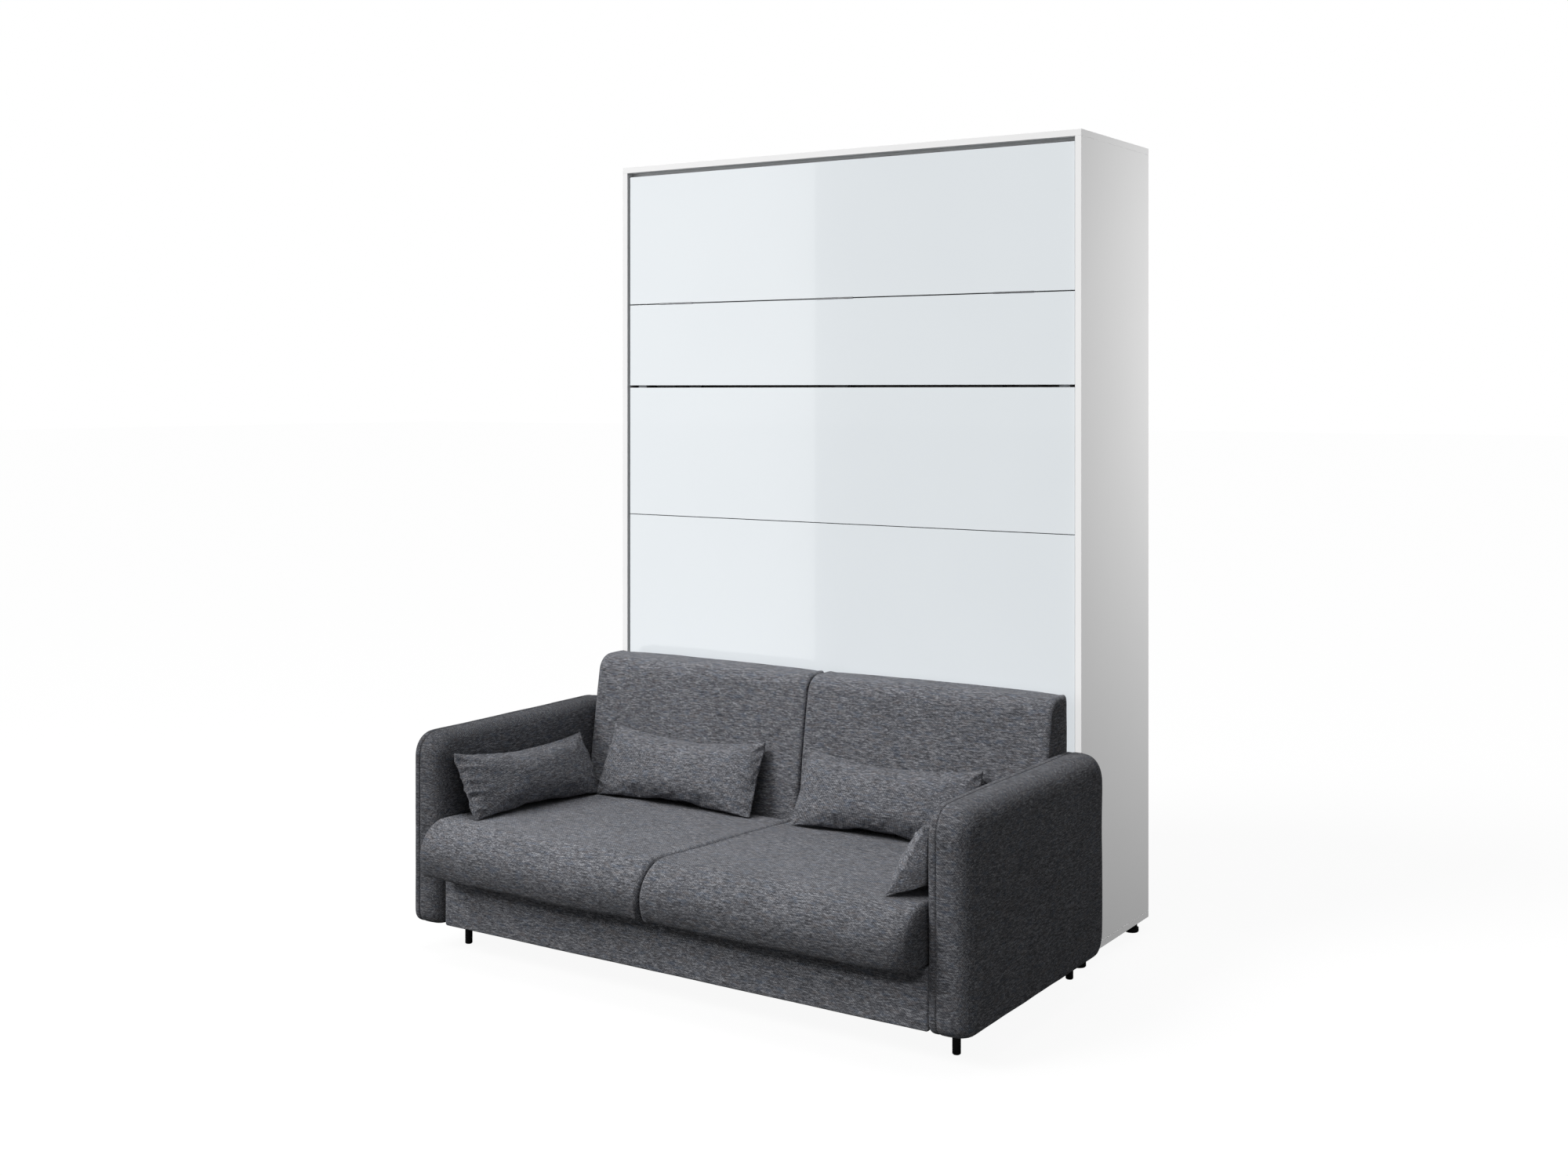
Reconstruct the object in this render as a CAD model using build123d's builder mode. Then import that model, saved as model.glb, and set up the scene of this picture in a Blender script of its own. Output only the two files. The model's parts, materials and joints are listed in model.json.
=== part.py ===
from build123d import *

import os
from math import atan, cos, degrees, radians, sin

# Wall bed with a two-seat sofa in front of it. Millimetres, +Z up, the wall on the +Y side.
# The origin lies on the floor, in the middle of the whole footprint.

# Cabinet; its width, height and depth follow from the mattress
board_thickness = 18.0
edge_rounding = 0.8
foot_height = 31.0
back_thickness = 3.0
back_rail_height = 140.0
overrun = 1.0  # how far a cutting tool runs past a face

# Sofa
sofa_reach = 908.0  # the cushions' noses in front of the cabinet
sofa_gap = 8.0  # between the sofa's back and the cabinet's front edge
arm_thickness = 102.0
arm_length = 800.0
arm_top = 588.0
arm_bottom = 78.0
deck_top = 228.0
back_cushion_top = 727.0
rest_gap = 0.3  # between a loose cushion and what it lies on
cushion_gap = 1.5  # between neighbouring cushions, half of it each

# Bed
mattress_width = 1400.0
mattress_length = 2000.0
mattress_thickness = 180.0
bedding_depth = 207.0  # behind the mattress, for the bedding
frame_side = 15.0  # of the bed's frame beyond each side of the mattress
strut_room = 25.0  # on each side, between the bed's frame and the cabinet
front_recess = 8.0  # of the bed's front behind the cabinet's front edge
front_thickness = 16.0
side_reveal = 4.0  # on each side of the bed's front
top_reveal = 12.0  # over the bed's front
front_bottom = 75.0
top_front_height = 391.0  # from the flap's hinge line to the front's top
middle_front_height = 390.0  # from the flap's free edge down to the next seam
open_clearance = 22.0  # between the sofa's deck and the lowered bed

# Places that follow from them, outwards from the mattress
tube_wall = 2.0
rail_depth = 40.0
rail_width = 30.0
frame_rise = 15.0  # of the frame's lower end over the front's
frame_top_inset = 25.0  # of the frame's upper end under the front's
holder_depth = 12.0
end_board = 16.0
end_board_inset = 6.0  # of the end boards before the mattress's back
end_board_margin = 14.0  # of the frame's upper end over the foot board
head_board_rise = 7.0
end_gap = 1.0

mattress_half = mattress_width / 2
frame_half = mattress_half + frame_side
frame_inner_half = frame_half - rail_width
inner_half = frame_half + strut_room
front_half = inner_half - side_reveal
half_width = inner_half + board_thickness

frame_bottom = front_bottom + frame_rise
head_board_bottom = frame_bottom + head_board_rise
mattress_bottom = head_board_bottom + end_board + end_gap
mattress_top = mattress_bottom + mattress_length
frame_top = mattress_top + end_gap + end_board + end_board_margin
front_top = frame_top + frame_top_inset
flap_seam = front_top - top_front_height
grip_seam = flap_seam - deck_top - open_clearance  # the open flap stands on the floor
lower_seam = grip_seam - middle_front_height
floor_board_top = foot_height + board_thickness
ceiling = front_top + top_reveal
cabinet_height = ceiling + board_thickness

bed_depth = front_thickness + rail_depth + holder_depth + mattress_thickness
cabinet_depth = front_recess + bed_depth + bedding_depth + back_thickness
wall_y = (cabinet_depth + sofa_reach) / 2
front_y = wall_y - cabinet_depth
back_y = wall_y - back_thickness
front_outer_y = front_y + front_recess
front_inner_y = front_outer_y + front_thickness
frame_back_y = front_inner_y + rail_depth
mattress_y = frame_back_y + holder_depth
mattress_back_y = mattress_y + mattress_thickness

# Main pivot
pivot_offset = 68.0  # behind the bed's front
pivot_y = front_outer_y + pivot_offset
pivot_z = deck_top + open_clearance + pivot_offset
pin_radius = 8.0
running_gap = 0.1
bush_wall = 3.0
pivot_arm_thickness = 3.0
pivot_plate_thickness = 3.0
pivot_plate_width = 84.0
pivot_plate_height = 100.0
pivot_arm_rise = 124.0
pin_head_height = 6.0
pin_head_radius = 11.0

# Gas struts, whose two ends are placed from the main pivot
strut_top_back = 300.0
strut_top_rise = 330.0
strut_foot_back = 30.0
strut_foot_depth = 90.0
strut_radius = 8.5
strut_bore = 7.0
strut_rod_radius = 4.0
strut_eye_radius = 10.0
strut_eye_gap = 0.5
strut_body_length = 335.0
strut_guide_length = 10.0
strut_rod_length = 206.0
strut_piston_length = 12.0
strut_plate_width = 50.0
strut_plate_height = 90.0

# Fasteners
screw_radius = 2.5
screw_head_radius = 5.0
screw_head_height = 3.0
screw_bite = 10.0
cabinet_screw_length = 50.0
cabinet_screw_inset = 60.0
wall_hole_radius = 4.5
wall_hole_inset = 140.0  # of the wall screws from the cabinet's sides

os.makedirs("parts", exist_ok=True)


def save(piece, name):
    """Give a finished piece its name and write it."""
    piece.part.label = name
    export_step(piece.part, f"parts/{name}.step")


def mirrored(piece):
    """The left-hand twin of a right-hand piece."""
    with BuildPart() as twin:
        mirror(piece.part, about=Plane.YZ)
    return twin


def box_between(low, high):
    """Inside a part: solid matter between two corners."""
    with BuildSketch(Plane.XY.offset(low[2])) as outline:
        with Locations(((low[0] + high[0]) / 2, (low[1] + high[1]) / 2)):
            Rectangle(high[0] - low[0], high[1] - low[1])
    extrude(outline.sketch, amount=high[2] - low[2])


def board(low, high, rounding=0.0, holes=()):
    """A board between two corners, with eased edges and rows of round holes (places, radius, depth)."""
    with BuildPart() as piece:
        box_between(low, high)
        if rounding:
            fillet(piece.edges(), rounding)
        for places, radius, depth in holes:
            with Locations(*places):
                Hole(radius, depth)
    return piece


def disc(x, y, z, radius, length, mode=Mode.ADD):
    """Inside a part: a cylinder along X that starts at x."""
    with BuildSketch(Plane.YZ.offset(x)) as outline:
        with Locations((y, z)):
            Circle(radius)
    extrude(outline.sketch, amount=length, mode=mode)


# Cabinet boards


def cabinet_screw_places(z, facing):
    """Where the screws of one end board go, on its outer face, and which way they face."""
    side_x = half_width - board_thickness / 2
    front = front_y + cabinet_screw_inset
    back = wall_y - cabinet_screw_inset
    rows = (front, (front + back) / 2, back)
    return [
        Plane(origin=(x, y, z), x_dir=(1, 0, 0), z_dir=(0, 0, facing))
        for x in (-side_x, side_x)
        for y in rows
    ]


top_screws = cabinet_screw_places(cabinet_height, 1)
bottom_screws = cabinet_screw_places(foot_height, -1)


def end_board_holes(places):
    """Clearance and head holes of an end board's screws."""
    return [
        (places, screw_radius, board_thickness + overrun),
        (places, screw_head_radius, screw_head_height),
    ]


def make_cabinet_boards():
    right_places = [p for p in top_screws + bottom_screws if p.origin.X > 0]
    side_holes = [(right_places, screw_radius, cabinet_screw_length)]
    side = board(
        (inner_half, front_y, floor_board_top),
        (half_width, wall_y, ceiling),
        edge_rounding,
        side_holes,
    )
    save(side, "side_panel_right")
    save(mirrored(side), "side_panel_left")

    top = board(
        (-half_width, front_y, ceiling),
        (half_width, wall_y, cabinet_height),
        edge_rounding,
        end_board_holes(top_screws),
    )
    save(top, "top_panel")

    bottom = board(
        (-half_width, front_y, foot_height),
        (half_width, wall_y, floor_board_top),
        edge_rounding,
        end_board_holes(bottom_screws),
    )
    save(bottom, "bottom_panel")


def make_cabinet_screws():
    with BuildPart() as screws:
        with BuildSketch(*top_screws, *bottom_screws):
            Circle(screw_head_radius)
        extrude(amount=-screw_head_height)
        with BuildSketch(*top_screws, *bottom_screws):
            Circle(screw_radius)
        extrude(amount=-cabinet_screw_length)
    save(screws, "cabinet_screws")


def make_back():
    """Back panel and its two rails; the upper rail is screwed to the wall."""
    hole_x = inner_half - wall_hole_inset
    hole_z = ceiling - back_rail_height / 2
    hole_places = [
        Plane(origin=(x, wall_y, hole_z), x_dir=(1, 0, 0), z_dir=(0, 1, 0))
        for x in (-hole_x, hole_x)
    ]
    wall_holes = [(hole_places, wall_hole_radius, back_thickness + board_thickness + overrun)]
    back = board(
        (-inner_half, back_y, floor_board_top),
        (inner_half, wall_y, ceiling),
        holes=wall_holes,
    )
    save(back, "back_panel")
    rail_y = back_y - board_thickness
    upper = board(
        (-inner_half, rail_y, ceiling - back_rail_height),
        (inner_half, back_y, ceiling),
        holes=wall_holes,
    )
    save(upper, "back_rail_upper")
    lower = board(
        (-inner_half, rail_y, floor_board_top),
        (inner_half, back_y, floor_board_top + back_rail_height),
    )
    save(lower, "back_rail_lower")


def make_stop():
    """Strip under the top panel that the closed bed rests against, through rubber buffers."""
    strip_height = 28.0
    buffer_height = 2.0
    buffer_radius = 5.0
    buffer_inset = 140.0  # of the outer buffers from the cabinet's sides
    buffer_rise = 6.0  # of the buffers' middle over the strip's lower edge
    strip_y = front_inner_y + rest_gap + buffer_height
    strip_z = ceiling - strip_height
    buffer_x = inner_half - buffer_inset
    strip = board(
        (-inner_half, strip_y, strip_z),
        (inner_half, strip_y + board_thickness, ceiling),
        edge_rounding,
    )
    save(strip, "stop_rail")
    with BuildPart() as buffers:
        with BuildSketch(Plane.XZ.offset(-strip_y)):
            with Locations(*[(x, strip_z + buffer_rise) for x in (-buffer_x, 0, buffer_x)]):
                Circle(buffer_radius)
        extrude(amount=buffer_height)
    save(buffers, "stop_buffers")


def make_cabinet_feet():
    """Round levelling feet: a broad pad, a short waist and a socket under the board."""
    foot_inset_x = 28.0
    foot_inset_front = 45.0
    foot_inset_back = 57.0
    pad_radius = 20.0
    pad_height = 12.0
    waist_radius = 16.0
    pad_edge = 2.0
    foot_x = half_width - foot_inset_x
    with BuildPart() as feet:
        for x in (-foot_x, foot_x):
            for y in (front_y + foot_inset_front, wall_y - foot_inset_back):
                with BuildSketch(Plane(origin=(x, y, 0), x_dir=(1, 0, 0), z_dir=(0, -1, 0))):
                    with BuildLine():
                        Polyline(
                            (0, 0),
                            (pad_radius - pad_edge, 0),
                            (pad_radius, pad_edge),
                            (pad_radius, pad_height),
                            (waist_radius, pad_height + pad_edge),
                            (waist_radius, foot_height - pad_edge),
                            (pad_radius, foot_height - pad_edge),
                            (pad_radius, foot_height),
                            (0, foot_height),
                            close=True,
                        )
                    make_face()
                revolve(axis=Axis((x, y, 0), (0, 0, 1)))
    save(feet, "cabinet_feet")


# Main pivot and gas struts


def make_pivot():
    """Plates on the cabinet's sides, pins through them, and the bed's arms with their bushes."""
    arm_x = frame_half
    arm_outer_x = arm_x + pivot_arm_thickness
    plate_x = inner_half - pivot_plate_thickness
    bush_radius = pin_radius + bush_wall

    with BuildPart() as plate:
        with BuildSketch(Plane.YZ.offset(plate_x)):
            with Locations((pivot_y, pivot_z)):
                RectangleRounded(pivot_plate_width, pivot_plate_height, bush_radius)
                Circle(pin_radius, mode=Mode.SUBTRACT)
        extrude(amount=pivot_plate_thickness)
    with BuildPart() as plates:
        add(plate.part)
        mirror(plate.part, about=Plane.YZ)
    save(plates, "pivot_plates")

    with BuildPart() as pin:
        disc(arm_x, pivot_y, pivot_z, pin_radius, inner_half - arm_x)
        disc(arm_x - rest_gap - pin_head_height, pivot_y, pivot_z, pin_head_radius, pin_head_height)
        disc(arm_x - rest_gap, pivot_y, pivot_z, pin_radius, rest_gap)
    with BuildPart() as pins:
        add(pin.part)
        mirror(pin.part, about=Plane.YZ)
    save(pins, "pivot_pins")

    arm_low = pivot_z - strut_foot_depth
    arm_high = pivot_z + pivot_arm_rise
    arm_margin = 16.0  # of the arm's plate around the strut's foot and the pivot
    with BuildPart() as arm:
        with BuildSketch(Plane.YZ.offset(arm_x)):
            with BuildLine():
                Polyline(
                    (front_inner_y + tube_wall, arm_high),
                    (front_inner_y + tube_wall, arm_low - arm_margin),
                    (pivot_y + strut_foot_back + arm_margin, arm_low - arm_margin),
                    (pivot_y + strut_foot_back + arm_margin, arm_low + arm_margin),
                    (pivot_y + bush_radius + arm_margin, pivot_z),
                    (pivot_y + arm_margin, pivot_z + bush_radius + arm_margin),
                    (frame_back_y, arm_high),
                    close=True,
                )
            make_face()
            with Locations((pivot_y, pivot_z)):
                Circle(bush_radius, mode=Mode.SUBTRACT)
        extrude(amount=pivot_arm_thickness)
    with BuildPart() as arms:
        add(arm.part)
        mirror(arm.part, about=Plane.YZ)
    save(arms, "pivot_arms")

    flange_thickness = 1.5
    with BuildPart() as bush:
        disc(arm_x, pivot_y, pivot_z, bush_radius, pivot_arm_thickness)
        disc(arm_outer_x, pivot_y, pivot_z, bush_radius + bush_wall, flange_thickness)
        disc(arm_x - overrun, pivot_y, pivot_z, pin_radius + running_gap, strut_room, Mode.SUBTRACT)
    with BuildPart() as bushes:
        add(bush.part)
        mirror(bush.part, about=Plane.YZ)
    save(bushes, "pivot_bushes")


def make_struts():
    """A gas strut on each side: its tube turns on a stud on the side, its rod ends at the bed's arm."""
    eye_x = frame_half + pivot_arm_thickness + strut_eye_gap
    plate_x = inner_half - pivot_plate_thickness
    eye_length = plate_x - strut_eye_gap - eye_x
    middle_x = eye_x + eye_length / 2
    top = Vector(middle_x, pivot_y + strut_top_back, pivot_z + strut_top_rise)
    foot = Vector(middle_x, pivot_y + strut_foot_back, pivot_z - strut_foot_depth)
    down = Plane(origin=top, x_dir=(1, 0, 0), z_dir=foot - top)
    up = Plane(origin=foot, x_dir=(1, 0, 0), z_dir=top - foot)

    stud_radius = strut_rod_radius
    with BuildPart() as bracket:
        with BuildSketch(Plane.YZ.offset(plate_x)):
            with Locations((top.Y, top.Z)):
                RectangleRounded(strut_plate_width, strut_plate_height, strut_eye_radius)
        extrude(amount=pivot_plate_thickness)
        disc(eye_x, top.Y, top.Z, stud_radius, plate_x - eye_x)
    with BuildPart() as brackets:
        add(bracket.part)
        mirror(bracket.part, about=Plane.YZ)
    save(brackets, "strut_brackets")

    with BuildPart() as tube:
        with BuildSketch(down):
            Circle(strut_radius)
        extrude(amount=strut_body_length)
        disc(eye_x, top.Y, top.Z, strut_eye_radius, eye_length)
        with BuildSketch(down.offset(strut_eye_radius * 2)):
            Circle(strut_bore)
        extrude(amount=strut_body_length - strut_eye_radius * 2 - strut_guide_length, mode=Mode.SUBTRACT)
        with BuildSketch(down.offset(strut_body_length - strut_guide_length)):
            Circle(strut_rod_radius + running_gap)
        extrude(amount=strut_guide_length, mode=Mode.SUBTRACT)
        disc(eye_x, top.Y, top.Z, stud_radius + running_gap, eye_length, Mode.SUBTRACT)
    save(tube, "strut_tube_right")
    save(mirrored(tube), "strut_tube_left")

    with BuildPart() as rod:
        with BuildSketch(up):
            Circle(strut_rod_radius)
        extrude(amount=strut_rod_length)
        with BuildSketch(up.offset(strut_rod_length - strut_piston_length)):
            Circle(strut_bore - running_gap)
        extrude(amount=strut_piston_length)
        disc(eye_x, foot.Y, foot.Z, strut_eye_radius, eye_length)
    save(rod, "strut_rod_right")
    save(mirrored(rod), "strut_rod_left")


# Bed frame


def upright_tube(x, y, width, depth, low, high):
    """Inside a part: a rectangular tube along Z, centred on x and y."""
    with BuildSketch(Plane.XY.offset(low)) as outline:
        with Locations((x, y)):
            Rectangle(width, depth)
            Rectangle(width - 2 * tube_wall, depth - 2 * tube_wall, mode=Mode.SUBTRACT)
    extrude(outline.sketch, amount=high - low)


def level_tube(half_length, y, z, depth, height):
    """Inside a part: a rectangular tube along X, centred on y and z."""
    with BuildSketch(Plane.YZ.offset(-half_length)) as outline:
        with Locations((y, z)):
            Rectangle(depth, height)
            Rectangle(depth - 2 * tube_wall, height - 2 * tube_wall, mode=Mode.SUBTRACT)
    extrude(outline.sketch, amount=2 * half_length)


cross_depth = rail_depth / 2
cross_height = 30.0
cross_inset = 35.0  # of a cross tube from a seam
cross_inset_end = 100.0  # of the first and last one from the front's ends
flap_gap = 3.0
grip_gap = 7.0
lower_gap = 2.0
lower_top = lower_seam - lower_gap / 2
middle_bottom = lower_seam + lower_gap / 2
middle_top = grip_seam - grip_gap / 2
flap_bottom = grip_seam + grip_gap / 2
flap_top = flap_seam - flap_gap / 2
top_bottom = flap_seam + flap_gap / 2

lower_levels = (front_bottom + cross_inset_end, (front_bottom + lower_top) / 2, lower_top - cross_inset)
middle_levels = (middle_bottom + cross_inset, middle_top - cross_inset)
top_levels = (top_bottom + cross_inset, front_top - cross_inset_end)
screw_count = 4
screw_inset = 70.0  # of the outer screws from the side rails
screw_spacing = 2 * (frame_inner_half - screw_inset) / (screw_count - 1)


def panel_screw_places(levels):
    """Where the screws through the cross tubes enter, on the tubes' back faces."""
    first_x = screw_inset - frame_inner_half
    return [
        Plane(
            origin=(first_x + screw_spacing * index, front_inner_y + cross_depth, level),
            x_dir=(1, 0, 0),
            z_dir=(0, 1, 0),
        )
        for level in levels
        for index in range(screw_count)
    ]


def make_frame():
    rail_x = frame_half - rail_width / 2
    rail_y = front_inner_y + rail_depth / 2
    with BuildPart() as rail:
        upright_tube(rail_x, rail_y, rail_width, rail_depth, frame_bottom, frame_top)
    save(rail, "bed_rail_right")
    save(mirrored(rail), "bed_rail_left")

    with BuildPart() as ends:
        for level in (frame_bottom + rail_width / 2, frame_top - rail_width / 2):
            level_tube(frame_inner_half, rail_y, level, rail_depth, rail_width)
    save(ends, "end_tubes")

    levels = lower_levels + middle_levels + top_levels
    with BuildPart() as crosses:
        for level in levels:
            level_tube(frame_inner_half, front_inner_y + cross_depth / 2, level, cross_depth, cross_height)
        with Locations(*panel_screw_places(levels)):
            Hole(screw_radius, cross_depth + overrun)
    save(crosses, "cross_tubes")

    beam_low = frame_bottom + rail_width
    beam_high = frame_top - rail_width
    with BuildPart() as beam:
        beam_y = frame_back_y - cross_depth / 2
        upright_tube(0, beam_y, rail_depth, cross_depth, beam_low, beam_high)
    save(beam, "centre_beam")


def make_end_boards():
    """Boards across the bed that hold the mattress at its head and foot."""
    back = mattress_back_y - end_board_inset
    head = board(
        (-mattress_half, frame_back_y, head_board_bottom),
        (mattress_half, back, head_board_bottom + end_board),
        edge_rounding,
    )
    save(head, "head_board")
    foot = board(
        (-mattress_half, frame_back_y, mattress_top + end_gap),
        (mattress_half, back, mattress_top + end_gap + end_board),
        edge_rounding,
    )
    save(foot, "foot_board")


def make_slats():
    """Sprung slats in two rows, and the plastic holders that carry their ends."""
    slat_count = 14
    slat_width = 53.0
    slat_thickness = 8.0
    slat_margin = 90.0  # of the first and last slat's middle from the mattress's ends
    holder_width = 45.0
    holder_height = 64.0
    holder_wall = 3.0
    pitch = (mattress_length - 2 * slat_margin) / (slat_count - 1)
    levels = [mattress_bottom + slat_margin + pitch * index for index in range(slat_count)]
    slat_y = frame_back_y + (holder_depth - slat_thickness) / 2
    pocket_wall = (holder_depth - slat_thickness) / 2 - running_gap
    inner_x = holder_wall / 2
    outer_x = mattress_half - holder_wall
    slat_x = (inner_x + outer_x) / 2
    end_holder_x = mattress_half - holder_width / 2
    pocket_depth = holder_width - holder_wall
    end_pocket_x = outer_x - pocket_depth / 2
    middle_pocket_depth = holder_width / 2 - inner_x
    middle_pocket_x = inner_x + middle_pocket_depth / 2

    with BuildPart() as slats:
        with BuildSketch(Plane.XZ.offset(-slat_y)):
            with Locations(*[(x, level) for level in levels for x in (-slat_x, slat_x)]):
                Rectangle(outer_x - inner_x - 2 * running_gap, slat_width)
        extrude(amount=-slat_thickness)
    save(slats, "slats")

    with BuildPart() as holders:
        with BuildSketch(Plane.XZ.offset(-frame_back_y)):
            with Locations(*[(x, level) for level in levels for x in (-end_holder_x, 0, end_holder_x)]):
                Rectangle(holder_width, holder_height)
        extrude(amount=-holder_depth)
        pocket_height = slat_width + 2 * running_gap
        with BuildSketch(Plane.XZ.offset(-frame_back_y - pocket_wall)):
            with Locations(*[(x, level) for level in levels for x in (-end_pocket_x, end_pocket_x)]):
                Rectangle(pocket_depth, pocket_height)
            with Locations(*[(x, level) for level in levels for x in (-middle_pocket_x, middle_pocket_x)]):
                Rectangle(middle_pocket_depth, pocket_height)
        extrude(amount=2 * pocket_wall - holder_depth, mode=Mode.SUBTRACT)
    save(holders, "slat_holders")


def make_mattress():
    """Mattress with rounded corners, and the straps that keep it on the raised bed."""
    corner = 30.0
    edge = 12.0
    strap_width = 50.0
    strap_thickness = 1.5
    strap_share = 0.3  # of the mattress's length, from each end
    with BuildPart() as mattress:
        with BuildSketch(Plane.XZ.offset(-mattress_y)):
            with Locations((0, (mattress_bottom + mattress_top) / 2)):
                RectangleRounded(mattress_width, mattress_length, corner)
        extrude(amount=-mattress_thickness)
        fillet(mattress.faces().sort_by(Axis.Y)[-1].edges(), edge)
        fillet(mattress.faces().sort_by(Axis.Y)[0].edges(), edge)
    save(mattress, "mattress")

    outer = mattress_half + strap_thickness
    levels = (
        mattress_bottom + strap_share * mattress_length,
        mattress_top - strap_share * mattress_length,
    )
    with BuildPart() as straps:
        for level in levels:
            with BuildSketch(Plane.XY.offset(level - strap_width / 2)):
                with BuildLine():
                    Polyline(
                        (-outer, frame_back_y),
                        (-mattress_half, frame_back_y),
                        (-mattress_half, mattress_back_y),
                        (mattress_half, mattress_back_y),
                        (mattress_half, frame_back_y),
                        (outer, frame_back_y),
                        (outer, mattress_back_y + strap_thickness),
                        (-outer, mattress_back_y + strap_thickness),
                        close=True,
                    )
                make_face()
            extrude(amount=strap_width)
    save(straps, "mattress_straps")


# Fronts and the leg flap

hinge_radius = 2.6
hinge_pin_radius = 1.2
hinge_width = 120.0
hinge_inset = 176.0  # of the outer hinges' middles from the front's sides
hinge_groove_gap = 0.3
hinge_xs = (hinge_inset - front_half, 0.0, front_half - hinge_inset)


def front_panel(low_z, high_z, levels=(), grooved=False):
    """One board of the bed's front, with its screw holes and the grooves of its hinges."""
    with BuildPart() as panel:
        box_between((-front_half, front_outer_y, low_z), (front_half, front_inner_y, high_z))
        fillet(panel.edges(), edge_rounding)
        if levels:
            with Locations(*panel_screw_places(levels)):
                Hole(screw_radius, cross_depth + screw_bite)
        if grooved:
            for x in hinge_xs:
                groove_width = hinge_width + 2 * hinge_groove_gap
                disc(
                    x - groove_width / 2,
                    front_outer_y,
                    flap_seam,
                    hinge_radius + hinge_groove_gap,
                    groove_width,
                    Mode.SUBTRACT,
                )
    return panel


def make_fronts():
    save(front_panel(front_bottom, lower_top, lower_levels), "front_panel_lower")
    save(front_panel(middle_bottom, middle_top, middle_levels), "front_panel_middle")
    save(front_panel(top_bottom, front_top, top_levels, grooved=True), "front_panel_top")
    save(front_panel(flap_bottom, flap_top, grooved=True), "leg_panel")
    places = panel_screw_places(lower_levels + middle_levels + top_levels)
    with BuildPart() as screws:
        with BuildSketch(*places):
            Circle(screw_head_radius)
        extrude(amount=screw_head_height)
        with BuildSketch(*places):
            Circle(screw_radius)
        extrude(amount=-cross_depth - screw_bite)
    save(screws, "panel_screws")


def hinge_leaf(x, knuckles, root_z, tip_z, bore):
    """Inside a part: one leaf in the flap's seam, with its knuckles (from, to) along X."""
    leaf_back_y = front_inner_y - overrun
    leaf_front_y = front_outer_y + hinge_radius + hinge_groove_gap
    box_between((x - hinge_width / 2, leaf_front_y, root_z), (x + hinge_width / 2, leaf_back_y, tip_z))
    for start, stop in knuckles:
        box_between((x + start, front_outer_y, root_z), (x + stop, leaf_front_y, tip_z))
        disc(x + start, front_outer_y, flap_seam, hinge_radius, stop - start)
        disc(x + start, front_outer_y, flap_seam, bore, stop - start, Mode.SUBTRACT)


def make_flap_hinges():
    """Three small hinges whose axis lies on the front's outer face."""
    leaf_thickness = 1.2
    knuckle_gap = 0.3
    middle_half = hinge_width / 6
    outer_knuckles = (
        (-hinge_width / 2, -middle_half - knuckle_gap / 2),
        (middle_half + knuckle_gap / 2, hinge_width / 2),
    )
    middle_knuckle = ((knuckle_gap / 2 - middle_half, middle_half - knuckle_gap / 2),)
    with BuildPart() as fixed:
        for x in hinge_xs:
            hinge_leaf(x, outer_knuckles, top_bottom - leaf_thickness, top_bottom, hinge_pin_radius)
    save(fixed, "hinge_leaves_fixed")
    with BuildPart() as moving:
        for x in hinge_xs:
            hinge_leaf(x, middle_knuckle, flap_top, flap_top + leaf_thickness, hinge_pin_radius + running_gap)
    save(moving, "hinge_leaves_moving")
    with BuildPart() as pins:
        for x in hinge_xs:
            disc(x - hinge_width / 2, front_outer_y, flap_seam, hinge_pin_radius, hinge_width)
    save(pins, "hinge_pins")


def make_flap_fittings():
    """Glides under the flap's free edge, and magnets on the frame that hold the flap shut."""
    glide_width = 60.0
    glide_thickness = 3.0
    glide_inset = 2.0
    glide_side = 136.0  # of a glide's middle from the front's side
    glide_x = front_half - glide_side
    with BuildPart() as glides:
        for x in (-glide_x, glide_x):
            box_between(
                (x - glide_width / 2, front_outer_y + glide_inset, flap_bottom - glide_thickness),
                (x + glide_width / 2, front_inner_y - glide_inset, flap_bottom),
            )
    save(glides, "flap_glides")

    magnet_width = 40.0
    magnet_gap = 0.5
    magnet_side = 236.0  # of a magnet's middle from the front's side
    magnet_x = front_half - magnet_side
    magnet_overlap = 16.0  # of the magnet behind the flap
    with BuildPart() as magnets:
        for x in (-magnet_x, magnet_x):
            box_between(
                (x - magnet_width / 2, front_inner_y + magnet_gap, middle_levels[-1] + cross_height / 2),
                (x + magnet_width / 2, front_inner_y + cross_depth, flap_bottom + magnet_overlap),
            )
    save(magnets, "flap_magnets")


# Sofa base and arms

arm_back_y = front_y - sofa_gap
arm_front_y = arm_back_y - arm_length
base_inset = 11.0  # of the sofa's front board behind the arms' fronts
base_front_y = arm_front_y + base_inset
fascia_thickness = 20.0
base_bottom = 95.0
core_offset = 3.0  # of an arm's board behind its inner fabric
core_bottom = 100.0
core_inset = 40.0
leg_radius = 10.0
leg_inset_front = 121.0
leg_inset_back = 54.0
core_x = inner_half + core_offset
core_middle_x = core_x + board_thickness / 2
leg_ys = (arm_front_y + leg_inset_front, arm_back_y - leg_inset_back)
leg_stud_radius = 4.0
leg_stud_length = 30.0
glide_height = 13.0


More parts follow.
